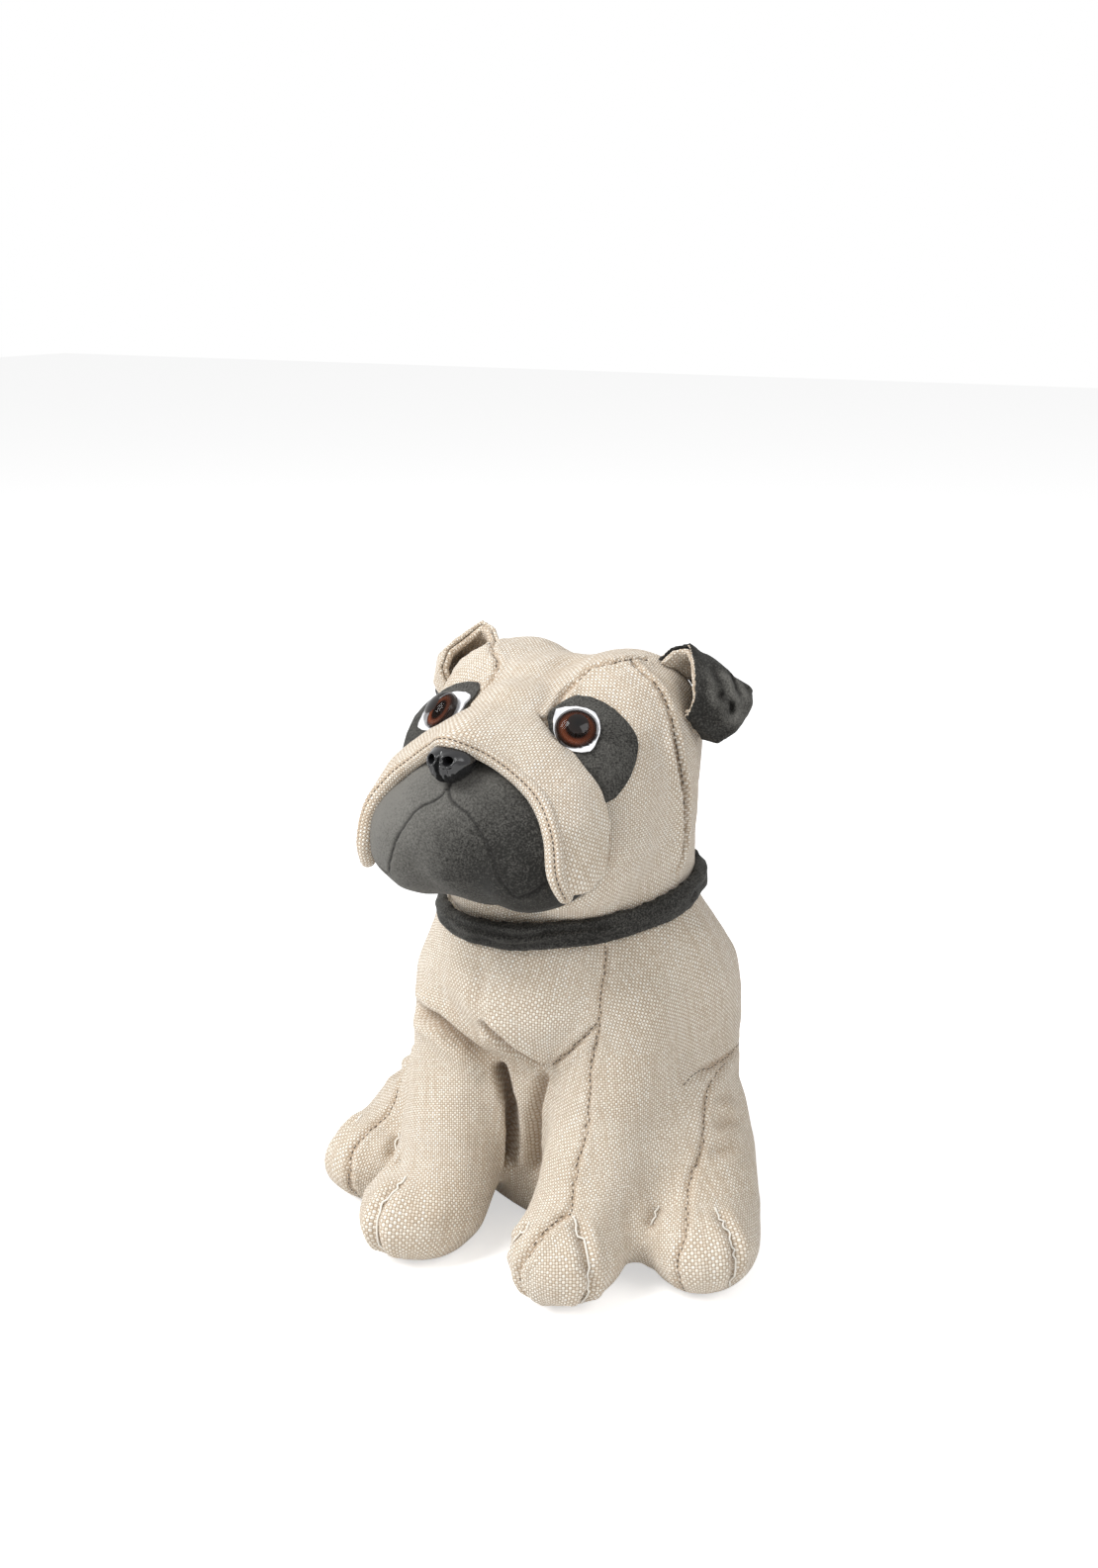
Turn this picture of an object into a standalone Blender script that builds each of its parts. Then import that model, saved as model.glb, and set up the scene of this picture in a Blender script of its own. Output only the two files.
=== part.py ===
# A sitting dog door stop, sewn from cloth and stuffed. Metres, +Z up.
# The dog looks along -Y, its own left side is +X, and it sits on z = 0.

import math

import bmesh
import bpy
from mathutils import Matrix, Vector

MM = 0.001

# Driving dimensions, in millimetres.
STANCE_Y = -13.25          # slides the finished dog so that it stands centred on the origin
CLOTH_GAP = 0.35           # what sewn pieces keep between them
NECK_HEIGHT = 163.0        # middle of the neck seam, which lies under the collar
NECK_RADIUS = 55.0
NECK_CENTRE_Y = 25.0
COLLAR_TILT = (0.1, 0.1)   # how far the neck seam rises to the dog's left and to its back
COLLAR_THICKNESS = 4.6
COLLAR_HALF_HEIGHT = 7.4

# Torso sections from the seat to the neck: height, centre y, half width, half depth.
TORSO_SECTIONS = (
    (-8.0, 55.0, 52.0, 42.0),
    (14.0, 53.0, 64.0, 56.0),
    (60.0, 49.0, 70.0, 61.0),
    (100.0, 43.0, 74.0, 64.0),
    (130.0, 36.0, 74.0, 66.0),
    (150.0, 29.5, 66.0, 60.0),
    (162.0, 26.0, 56.5, 55.0),
    (184.0, 25.0, 54.0, 53.0),
)
CHEST = ((0.0, 2.0, 124.0), (44.0, 42.0, 33.0))

# Limbs as chains of points with a radius, on the dog's left side.
FRONT_LEG = (
    ((39.0, 2.0, 122.0), 27.0),
    ((40.0, -1.0, 96.0), 26.0),
    ((38.0, -8.0, 72.0), 25.0),
    ((37.5, -19.0, 48.0), 25.5),
    ((37.0, -28.0, 28.0), 25.0),
)
FRONT_PAW = ((38.0, -43.5, 20.5), (27.5, 36.0, 23.5), 13.0)
HIND_LEG = (
    ((56.0, 34.0, 56.0), 31.0),
    ((66.0, 26.0, 42.0), 30.0),
    ((78.0, 10.0, 28.0), 28.0),
)
THIGH = ((56.0, 30.0, 51.0), (30.5, 43.0, 47.0), 10.0)
HIND_PAW = ((83.5, -3.0, 20.0), (28.0, 36.0, 24.0), 28.0)

# Head: skull bulges as centre and radii, the ones beside the middle on both sides.
SKULL = ((0.0, 15.0, 222.0), (61.0, 58.0, 50.0))
BROW = ((27.0, 18.0, 228.0), (36.0, 42.0, 47.0))
EYE_SOCKET = ((30.0, -7.0, 227.0), (31.0, 34.0, 31.0))
BRIDGE = (
    ((0.0, -20.0, 250.0), (22.0, 26.0, 17.0)),
    ((0.0, -40.0, 242.0), (17.0, 24.0, 13.0)),
)
CROWN = ((25.0, 29.0, 236.5), (35.0, 36.0, 38.0))
CHEEK = ((24.0, -12.0, 201.0), (34.0, 38.0, 35.0))
HEAD_SECTIONS = (
    (156.0, 25.0, 55.0, 54.0),
    (186.0, 24.0, 57.0, 55.0),
    (214.0, 20.0, 59.0, 56.0),
)
MUZZLE = ((0.0, -42.0, 213.0), (43.0, 42.0, 36.0))
JOWL = ((25.0, -47.0, 206.0), (26.5, 34.0, 28.5))

# The lip flap on the left: inner edge on the muzzle, outer edge on the face, thickness.
LIP_FLAP = (
    ((0.0, -74.0, 252.0), (0.0, -24.0, 260.0), 3.5),
    ((12.0, -67.0, 247.0), (15.0, -34.0, 255.0), 3.3),
    ((24.0, -63.0, 239.0), (31.0, -39.5, 244.5), 3.6),
    ((35.0, -63.0, 230.0), (46.5, -38.5, 232.0), 4.0),
    ((43.0, -67.0, 218.0), (53.0, -38.0, 219.0), 4.0),
    ((46.0, -69.0, 203.0), (55.0, -43.0, 203.0), 4.0),
    ((48.0, -65.0, 193.0), (52.0, -52.0, 192.0), 3.5),
)


# Suede patch around the left eye and the white felt inside it, as outlines on the head.
EYE_PATCH = (
    (19.6, -30.0, 253.5), (19.5, -22.0, 258.0), (24.0, -13.0, 261.5), (35.5, -11.3, 258.7),
    (44.1, -11.7, 254.0), (51.4, -13.3, 247.3), (54.1, -17.2, 242.3), (54.9, -21.4, 237.1),
    (53.5, -27.0, 229.9), (48.6, -33.0, 223.8), (43.0, -38.0, 231.0), (36.0, -38.0, 239.0),
    (28.0, -37.0, 246.5),
)
EYE_WHITE = (
    (20.4, -24.5, 256.6), (26.0, -18.2, 257.2), (34.5, -18.2, 255.4), (39.5, -23.4, 250.7),
    (40.4, -27.8, 246.8), (39.8, -31.8, 243.5), (34.0, -34.9, 243.6), (27.5, -34.0, 246.6),
    (23.0, -31.0, 250.0),
)
EYE_CENTRE = (31.9, -27.9, 250.2)
EYE_NORMAL = (0.46, -0.62, 0.64)
EYE_RADIUS = 9.1
EYE_HEIGHT = 6.4
PATCH_THICKNESS = 0.9
WHITE_THICKNESS = 0.8

NOSE = ((0.0, -71.5, 243.7), (10.5, 10.5, 9.0))
NOSTRIL = ((4.6, -80.6, 245.8), 2.3)

# The left ear is a soft pouch: its rim from the root over the peak down to the cheek, behind
# it the line of its far end, and the line in the head where its back wall is sewn in.
EAR_RIM = (
    (38.0, 28.0, 269.5), (44.0, 33.0, 276.0), (51.5, 35.0, 278.5), (56.6, 29.0, 273.5),
    (62.0, 20.0, 267.5), (64.0, 16.5, 259.0), (60.5, 16.5, 251.5), (54.0, 20.0, 249.0),
)
EAR_BACK = (
    (44.0, 44.0, 262.0), (55.0, 49.0, 262.0), (67.0, 49.0, 261.0), (78.0, 46.5, 259.0),
    (80.5, 42.0, 253.5), (77.0, 33.5, 242.0), (70.5, 28.5, 237.0), (58.0, 30.0, 240.0),
)
EAR_ROOT = (
    (36.0, 44.0, 256.0), (37.0, 48.0, 254.0), (38.0, 50.0, 251.0), (38.0, 50.0, 248.0),
    (38.0, 48.0, 244.0), (38.0, 44.0, 241.0), (38.0, 38.0, 239.0), (40.0, 30.0, 240.0),
)
EAR_PLEAT = 0.9
EAR_SUEDE = 1.5
EAR_LINEN = 2.0

COLOURS = {
    "linen": ((0.61, 0.50, 0.37), 0.9, 0.0),
    "suede": ((0.062, 0.060, 0.053), 0.92, 0.0),
    "felt": ((0.86, 0.86, 0.86), 0.9, 0.0),
    "eye": ((0.09, 0.022, 0.010), 0.08, 0.0),
    "nose": ((0.012, 0.012, 0.012), 0.22, 0.0),
}


def clear_scene():
    for old in list(bpy.data.objects):
        bpy.data.objects.remove(old)


def mirror(point, side):
    return (point[0] * side, point[1], point[2])


def ball_mesh(spokes=16, rings=9):
    bm = bmesh.new()
    bmesh.ops.create_uvsphere(bm, u_segments=spokes, v_segments=rings, radius=1.0)
    mesh = bpy.data.meshes.new("ball")
    bm.to_mesh(mesh)
    bm.free()
    return mesh


def solid(name, bm):
    mesh = bpy.data.meshes.new(name)
    bm.to_mesh(mesh)
    bm.free()
    obj = bpy.data.objects.new(name, mesh)
    bpy.context.scene.collection.objects.link(obj)
    return obj


class Lump:
    """Overlapping rounds that one skin is later drawn over."""

    def __init__(self, spokes=16, rings=9):
        self.bm = bmesh.new()
        self.ball = ball_mesh(spokes, rings)

    def ellipsoid(self, centre, radii, turn=0.0):
        ball = self.ball.copy()
        ball.transform(Matrix.Scale(MM, 4) @ Matrix.Translation(Vector(centre))
                       @ Matrix.Rotation(math.radians(turn), 4, "Z") @ Matrix.Diagonal((*radii, 1.0)))
        self.bm.from_mesh(ball)
        bpy.data.meshes.remove(ball)

    def limb(self, chain, side, steps=5):
        for (start, start_radius), (end, end_radius) in zip(chain, chain[1:]):
            for step in range(steps):
                share = step / (steps - 1)
                centre = Vector(mirror(start, side)).lerp(Vector(mirror(end, side)), share)
                radius = start_radius + (end_radius - start_radius) * share
                self.ellipsoid(centre, (radius, radius, radius))

    def loft(self, sections, count=40):
        """A tube through oval rings, bridged from ring to ring and closed at both ends."""
        tube = bmesh.new()
        rings = []
        for height, centre_y, half_width, half_depth in sections:
            place = Matrix.Translation((0.0, centre_y, height)) @ Matrix.Diagonal((half_width, half_depth, 1, 1))
            ring = bmesh.ops.create_circle(tube, segments=count, radius=1, matrix=Matrix.Scale(MM, 4) @ place)
            rings.append(list({edge for vert in ring["verts"] for edge in vert.link_edges}))
        for lower, upper in zip(rings, rings[1:]):
            bmesh.ops.bridge_loops(tube, edges=lower + upper)
        bmesh.ops.holes_fill(tube, edges=rings[0] + rings[-1])
        bmesh.ops.recalc_face_normals(tube, faces=tube.faces)
        mesh = bpy.data.meshes.new("tube")
        tube.to_mesh(mesh)
        tube.free()
        self.bm.from_mesh(mesh)
        bpy.data.meshes.remove(mesh)

    def finish(self, name, voxel, smoothing, triangles):
        bpy.data.meshes.remove(self.ball)
        obj = solid(name, self.bm)
        skin = obj.modifiers.new("One skin", "REMESH")
        skin.mode = "VOXEL"
        skin.voxel_size = voxel * MM
        soft = obj.modifiers.new("Soft stuffing", "SMOOTH")
        soft.factor = 0.5
        soft.iterations = smoothing
        bpy.context.view_layer.update()
        found = obj.evaluated_get(bpy.context.evaluated_depsgraph_get()).data
        found.calc_loop_triangles()
        thin = obj.modifiers.new("Fewer faces", "DECIMATE")
        thin.ratio = min(1.0, triangles / len(found.loop_triangles))
        return obj


def make_body():
    lump = Lump()
    lump.loft(TORSO_SECTIONS)
    lump.ellipsoid(*CHEST)
    for side in (-1, 1):
        lump.limb(FRONT_LEG, side)
        centre, radii, turn = FRONT_PAW
        lump.ellipsoid(mirror(centre, side), radii, turn * side)
        lump.limb(HIND_LEG, side)
        centre, radii, turn = THIGH
        lump.ellipsoid(mirror(centre, side), radii, turn * side)
        centre, radii, turn = HIND_PAW
        lump.ellipsoid(mirror(centre, side), radii, turn * side)
    return lump.finish("body", 4.0, 9, 3000)


def make_head():
    lump = Lump()
    lump.loft(HEAD_SECTIONS)
    lump.ellipsoid(*SKULL)
    for shape in BRIDGE:
        lump.ellipsoid(*shape)
    for side in (-1, 1):
        for centre, radii in (BROW, CROWN, EYE_SOCKET, CHEEK):
            lump.ellipsoid(mirror(centre, side), radii)
    return lump.finish("head", 3.5, 8, 2050)


def make_muzzle():
    lump = Lump()
    lump.ellipsoid(*MUZZLE)
    for side in (-1, 1):
        lump.ellipsoid(mirror(JOWL[0], side), JOWL[1])
    return lump.finish("muzzle", 3.0, 6, 700)


def make_flap():
    lump = Lump(10, 6)
    steps, across = 5, 7
    for side in (-1, 1):
        for (in_a, out_a, r_a), (in_b, out_b, r_b) in zip(LIP_FLAP, LIP_FLAP[1:]):
            for step in range(steps):
                share = step / steps
                inner = Vector(in_a).lerp(Vector(in_b), share)
                outer = Vector(out_a).lerp(Vector(out_b), share)
                for k in range(across):
                    t = k / (across - 1)
                    r = (r_a + (r_b - r_a) * share) * (0.8 + 0.5 * math.sin(math.pi * t))
                    lump.ellipsoid(mirror(inner.lerp(outer, t), side), (r, r, r))
    return lump.finish("lip_flap", 2.5, 4, 780)


def neck_plane(x, y):
    return NECK_HEIGHT + COLLAR_TILT[0] * x + COLLAR_TILT[1] * (y - NECK_CENTRE_Y)


def make_collar():
    lump = Lump(10, 6)
    count = 60
    for i in range(count):
        angle = 2 * math.pi * i / count
        x = math.cos(angle) * (NECK_RADIUS + 1.2)
        y = NECK_CENTRE_Y + math.sin(angle) * (NECK_RADIUS + 0.5)
        lump.ellipsoid((x, y, neck_plane(x, y)), (COLLAR_THICKNESS, COLLAR_THICKNESS, COLLAR_HALF_HEIGHT))
    return lump.finish("collar", 2.5, 4, 600)


def make_cutter(name, obj, gap):
    """A swollen copy of a stuffed piece, which leaves that gap around it when it is cut away."""
    cutter = obj.copy()
    cutter.name = name
    bpy.context.scene.collection.objects.link(cutter)
    swell = cutter.modifiers.new("Gap", "DISPLACE")
    swell.mid_level = 0.0
    swell.strength = gap * MM
    return cutter


def make_slab(name, low, high):
    """A block with sloping top and bottom, each given as a height over the corners."""
    bm = bmesh.new()
    bmesh.ops.create_cube(bm, size=400.0)
    for vert in bm.verts:
        vert.co.z = (high if vert.co.z > 0 else low)(vert.co.x, vert.co.y)
    bmesh.ops.scale(bm, vec=(MM, MM, MM), verts=bm.verts)
    return solid(name, bm)


def make_neck_core(name):
    radius = (NECK_RADIUS + 1.5) * MM
    bm = bmesh.new()
    bmesh.ops.create_cone(bm, cap_ends=True, segments=48, radius1=radius, radius2=radius, depth=100 * MM,
                          matrix=Matrix.Translation(Vector((0.0, NECK_CENTRE_Y, NECK_HEIGHT)) * MM))
    return solid(name, bm)


def cut(obj, cutter, operation="DIFFERENCE"):
    boolean = obj.modifiers.new("Cut " + cutter.name, "BOOLEAN")
    boolean.operation = operation
    boolean.solver = "EXACT"
    boolean.object = cutter


def applique(name, outline, side):
    """A plug through the face inside a closed outline, later trimmed to a thin piece of cloth."""
    edge = [Vector(mirror(p, side)) for p in outline]
    count = len(edge)
    edge = [point for i in range(count) for point in (
        edge[i],
        (edge[i] + edge[(i + 1) % count]) * 0.5625 - (edge[i - 1] + edge[(i + 2) % count]) * 0.0625)]
    centre = Vector((0.0, 8.0, 222.0))
    bm = bmesh.new()
    face = bm.faces.new([bm.verts.new((point - (point - centre).normalized() * 9.0) * MM) for point in edge])
    bmesh.ops.poke(bm, faces=[face])
    raised = bmesh.ops.extrude_face_region(bm, geom=bm.faces[:])
    for vert in raised["geom"]:
        if isinstance(vert, bmesh.types.BMVert):
            vert.co += (vert.co - centre * MM).normalized() * 18.0 * MM
    bmesh.ops.recalc_face_normals(bm, faces=bm.faces)
    return solid(name, bm)


def ear_point(u, v, depth):
    """A place on the ear: u from the rim to the back, v along the rim, depth into the cup."""
    def along(line, t):
        place = t * (len(line) - 1)
        first = min(int(place), len(line) - 2)
        share = place - first
        share = share * share * (3 - 2 * share) * 0.5 + share * 0.5
        return Vector(line[first]).lerp(Vector(line[first + 1]), share)

    def base(u, v):
        if u > 0.6:
            share = (u - 0.6) / 0.4
            return along(EAR_BACK, v).lerp(along(EAR_ROOT, v), share)
        u = u / 0.6
        point = along(EAR_RIM, v).lerp(along(EAR_BACK, v), u)
        heart = Vector((56.0, 34.0, 258.0))
        out = (point - heart).normalized()
        fullness = 1.5 * math.sin(math.pi * min(1.0, u * 1.1)) * math.sin(math.pi * v)
        fade = math.sin(math.pi * v) * min(1.0, u * 4, (1 - u) * 6)
        pleats = EAR_PLEAT * math.sin(2 * math.pi * u * 2.2 + 1.2) * fade
        return point + out * (fullness + pleats)

    step = 0.02
    u_low, u_high = max(0.0, u - step), min(1.0, u + step)
    v_low, v_high = max(0.0, v - step), min(1.0, v + step)
    normal = (base(u, v_high) - base(u, v_low)).cross(base(u_high, v) - base(u_low, v)).normalized()
    return base(u, v) - normal * depth


def make_ear(name, side, near, far, reach, across, along=8):
    """A grid laid on the pouch from its rim to reach, at one depth, and drawn out to the other."""
    bm = bmesh.new()
    bmesh.ops.create_grid(bm, x_segments=across - 1, y_segments=along - 1, size=0.5)
    places = {vert: ((vert.co.x + 0.5) * reach, vert.co.y + 0.5, near) for vert in bm.verts}
    raised = bmesh.ops.extrude_face_region(bm, geom=bm.faces[:])
    places.update({vert: ((vert.co.x + 0.5) * reach, vert.co.y + 0.5, far)
                   for vert in raised["geom"] if isinstance(vert, bmesh.types.BMVert)})
    for vert, (u, v, depth) in places.items():
        vert.co = Vector(mirror(ear_point(u, v, depth), side)) * MM
    if bm.calc_volume(signed=True) < 0:
        bmesh.ops.reverse_faces(bm, faces=bm.faces)
    return solid(name, bm)


def make_ball(name, centre, radii, spokes, rings, axis=None):
    turn = axis.to_track_quat("Z", "Y").to_matrix().to_4x4() if axis else Matrix.Identity(4)
    bm = bmesh.new()
    bmesh.ops.create_uvsphere(
        bm, u_segments=spokes, v_segments=rings, radius=1.0,
        matrix=Matrix.Scale(MM, 4) @ Matrix.Translation(Vector(centre)) @ turn @ Matrix.Diagonal((*radii, 1.0)))
    return solid(name, bm)


def paint(obj, kind):
    colour, roughness, metallic = COLOURS[kind]
    material = bpy.data.materials.new(obj.name)
    material.use_nodes = True
    shader = material.node_tree.nodes["Principled BSDF"]
    shader.inputs["Base Color"].default_value = (*colour, 1.0)
    shader.inputs["Roughness"].default_value = roughness
    shader.inputs["Metallic"].default_value = metallic
    obj.data.materials.clear()
    obj.data.materials.append(material)


def file_away(nodes, cutters):
    scene = bpy.context.scene.collection
    dog = bpy.data.collections.new("Dog door stop")
    tools = bpy.data.collections.new("Cutters")
    for collection, members in ((dog, nodes), (tools, cutters)):
        scene.children.link(collection)
        for obj in members:
            scene.objects.unlink(obj)
            collection.objects.link(obj)
    for obj in cutters:
        obj.hide_render = True
        obj.display_type = "WIRE"
    for obj in nodes + cutters:
        obj.location.y = STANCE_Y * MM


def main():
    clear_scene()
    body, head, muzzle, flap, collar = make_body(), make_head(), make_muzzle(), make_flap(), make_collar()
    nodes = {body: "linen", head: "linen", muzzle: "suede", flap: "linen", collar: "suede"}

    patch_top = CLOTH_GAP + PATCH_THICKNESS
    white_top = patch_top + CLOTH_GAP + WHITE_THICKNESS
    near_head = make_cutter("near_head", head, CLOTH_GAP)
    over_patch = make_cutter("over_patch", head, patch_top)
    white_seat = make_cutter("white_seat", head, patch_top + CLOTH_GAP)
    over_white = make_cutter("over_white", head, white_top)
    eye_seat = make_cutter("eye_seat", head, white_top + CLOTH_GAP)
    near_muzzle = make_cutter("near_muzzle", muzzle, CLOTH_GAP)
    near_flap = make_cutter("near_flap", flap, CLOTH_GAP)
    near_body = make_cutter("near_body", body, CLOTH_GAP)
    floor = make_slab("floor", lambda x, y: -60.0, lambda x, y: 0.0)
    above_neck = make_slab("above_neck", neck_plane, lambda x, y: 400.0)
    below_neck = make_slab("below_neck", lambda x, y: 60.0, lambda x, y: neck_plane(x, y) + CLOTH_GAP)
    neck_core = make_neck_core("neck_core")
    cutters = [near_head, over_patch, white_seat, over_white, eye_seat, near_muzzle, near_flap, near_body,
               floor, above_neck, below_neck, neck_core]

    nose = make_ball("nose", NOSE[0], NOSE[1], 14, 9)
    nodes[nose] = "nose"
    for side, word in ((1, "left"), (-1, "right")):
        patch = applique("eye_patch_" + word, EYE_PATCH, side)
        cut(patch, over_patch, "INTERSECT")
        cut(patch, near_head)
        white = applique("eye_white_" + word, EYE_WHITE, side)
        cut(white, over_white, "INTERSECT")
        cut(white, white_seat)
        normal = Vector(mirror(EYE_NORMAL, side)).normalized()
        centre = Vector(mirror(EYE_CENTRE, side)) + normal * (white_top + CLOTH_GAP - 1.0)
        eye = make_ball("eye_" + word, centre, (EYE_RADIUS, EYE_RADIUS, EYE_HEIGHT), 16, 8, normal)
        ear_back = make_ear("ear_back_" + word, side, 0.0, EAR_SUEDE, 1.0, 14)
        lining_depth = EAR_SUEDE + CLOTH_GAP * 2.4
        ear_lining = make_ear("ear_lining_" + word, side, lining_depth, lining_depth + EAR_LINEN, 7 / 13, 8)
        nostril = make_ball("nostril_" + word, mirror(NOSTRIL[0], side), (NOSTRIL[1],) * 3, 6, 5)
        cutters.append(nostril)
        cut(nose, nostril)
        cut(eye, eye_seat)
        for piece in (patch, white, eye):
            cut(piece, near_flap)
        for piece in (ear_back, ear_lining):
            cut(piece, near_head)
        nodes.update({patch: "suede", white: "felt", eye: "eye", ear_back: "suede", ear_lining: "linen"})

    cut(body, floor)
    cut(body, above_neck)
    cut(head, below_neck)
    cut(head, near_muzzle)
    cut(flap, near_head)
    cut(flap, near_muzzle)
    cut(nose, near_muzzle)
    cut(nose, near_flap)
    cut(nose, near_head)
    cut(collar, neck_core)
    cut(collar, near_head)
    cut(collar, near_body)
    for obj, kind in nodes.items():
        paint(obj, kind)
    file_away(list(nodes), cutters)


main()
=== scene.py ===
import bpy
import bmesh
import math
import numpy as np
from mathutils import Matrix, Vector, noise
from mathutils.bvhtree import BVHTree


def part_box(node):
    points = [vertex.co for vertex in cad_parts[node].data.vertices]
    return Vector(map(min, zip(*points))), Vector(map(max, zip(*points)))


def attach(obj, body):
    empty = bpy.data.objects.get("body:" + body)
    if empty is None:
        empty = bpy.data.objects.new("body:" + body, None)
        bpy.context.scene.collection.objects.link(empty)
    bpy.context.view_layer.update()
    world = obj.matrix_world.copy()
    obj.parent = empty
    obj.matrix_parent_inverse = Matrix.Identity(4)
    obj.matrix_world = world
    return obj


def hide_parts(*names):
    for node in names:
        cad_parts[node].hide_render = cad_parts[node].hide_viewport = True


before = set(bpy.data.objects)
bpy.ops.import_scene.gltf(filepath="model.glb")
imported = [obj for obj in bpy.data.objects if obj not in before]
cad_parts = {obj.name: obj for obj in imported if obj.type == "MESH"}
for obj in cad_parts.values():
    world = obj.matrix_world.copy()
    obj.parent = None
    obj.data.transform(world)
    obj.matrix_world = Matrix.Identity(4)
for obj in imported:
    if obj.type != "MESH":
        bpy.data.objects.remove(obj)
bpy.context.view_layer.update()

mm = 0.001


# helpers for shapes

def newMesh(name, bm):
    mesh = bpy.data.meshes.new(name)
    bm.to_mesh(mesh)
    bm.free()
    return mesh


def mergedCopy(*names):
    whole = bmesh.new()
    for name in names:
        part = bmesh.new()
        part.from_mesh(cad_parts[name].data)
        bmesh.ops.remove_doubles(part, verts=part.verts, dist=1e-6)
        spare = newMesh("spare", part)
        whole.from_mesh(spare)
        bpy.data.meshes.remove(spare)
    return newMesh(names[0] + "Cover", whole)


def addObject(name, mesh):
    obj = bpy.data.objects.new(name, mesh)
    bpy.context.scene.collection.objects.link(obj)
    return obj


def evaluatedMesh(obj):
    bpy.context.view_layer.update()
    return bpy.data.meshes.new_from_object(obj.evaluated_get(bpy.context.evaluated_depsgraph_get()))


def bakeModifiers(obj):
    mesh = evaluatedMesh(obj)
    old = obj.data
    obj.modifiers.clear()
    obj.data = mesh
    bpy.data.meshes.remove(old)
    mesh.materials.clear()
    mesh.shade_smooth()


def restuff(obj, cell, smoothing):
    # an even mesh over the CAD solid's shape
    remesh = obj.modifiers.new("even", "REMESH")
    remesh.mode = "VOXEL"
    remesh.voxel_size = cell
    smooth = obj.modifiers.new("relax", "SMOOTH")
    smooth.factor = 0.5
    smooth.iterations = smoothing
    bakeModifiers(obj)
    bm = bmesh.new()
    bm.from_mesh(obj.data)
    keepLargest(bm)
    bm.to_mesh(obj.data)
    bm.free()


def islands(items, neighbours):
    # groups of items that hang together
    groups, seen = [], set()
    for start in items:
        if start in seen:
            continue
        seen.add(start)
        group = [start]
        for item in group:  # the group grows while it is walked
            for other in neighbours(item):
                if other not in seen:
                    seen.add(other)
                    group.append(other)
        groups.append(group)
    return groups


def keepLargest(bm):
    groups = islands(bm.verts, lambda vert: [edge.other_vert(vert) for edge in vert.link_edges])
    groups.sort(key=len)
    for group in groups[:-1]:
        bmesh.ops.delete(bm, geom=group, context="VERTS")


def finer(obj, levels):
    subsurf = obj.modifiers.new("finer", "SUBSURF")
    subsurf.levels = subsurf.render_levels = levels
    bakeModifiers(obj)


def readAll(items, key, width=3):
    values = np.zeros(len(items) * width, np.float32)
    items.foreach_get(key, values)
    return values.reshape(-1, width).astype(float)


def readPoints(mesh):
    return readAll(mesh.vertices, "co")


def readNormals(mesh):
    return readAll(mesh.vertex_normals, "vector")


def floatAttribute(mesh, label, values):
    mesh.attributes.new(label, "FLOAT", "POINT").data.foreach_set("value", values)


def writePoints(mesh, points):
    mesh.vertices.foreach_set("co", points.astype(np.float32).ravel())
    mesh.update()


def surfaceTree(obj):
    mesh = obj.data
    return BVHTree.FromPolygons([v.co for v in mesh.vertices], [p.vertices[:] for p in mesh.polygons])


def unit(rows):
    return rows / np.linalg.norm(rows, axis=1)[:, None]


def mirrored(line):
    return [(-x, y, z) for x, y, z in line]


def traceLine(line, tree=None, step=1.2, perSpan=None):
    # a smooth run through the points, in millimetres, laid on the surface
    points = [Vector(p) * mm for p in line]
    run = []
    for i in range(len(points) - 1):
        a, b = points[max(i - 1, 0)], points[i]
        c, d = points[i + 1], points[min(i + 2, len(points) - 1)]
        count = perSpan or max(2, int((c - b).length / (step * mm)))
        for k in range(count):
            t = k / count
            run.append(0.5 * (2 * b + (c - a) * t + (2 * a - 5 * b + 4 * c - d) * t * t
                              + (3 * b - 3 * c + d - a) * t * t * t))
    run.append(points[-1])
    if tree:
        run = [tree.find_nearest(p)[0] for p in run]
    return np.array([tuple(p) for p in run])


def nearLine(points, path, reach):
    # for the points within reach of the path: their numbers, distances and places along it
    low, high = path.min(0) - reach, path.max(0) + reach
    near = np.nonzero(((points > low) & (points < high)).all(1))[0]
    best = np.full(len(near), 1e9)
    along = np.zeros(len(near))
    side = np.zeros((len(near), 3))
    start = 0.0
    for a, b in zip(path[:-1], path[1:]):
        run = b - a
        length = float(np.linalg.norm(run))
        if length < 1e-7:
            continue
        t = np.clip(((points[near] - a) @ run) / length ** 2, 0, 1)
        gap = points[near] - (a + t[:, None] * run)
        distance = np.linalg.norm(gap, axis=1)
        closer = distance < best
        best[closer] = distance[closer]
        along[closer] = start + t[closer] * length
        side[closer] = gap[closer]
        start += length
    keep = best < reach
    return near[keep], best[keep], along[keep], side[keep], start


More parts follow.
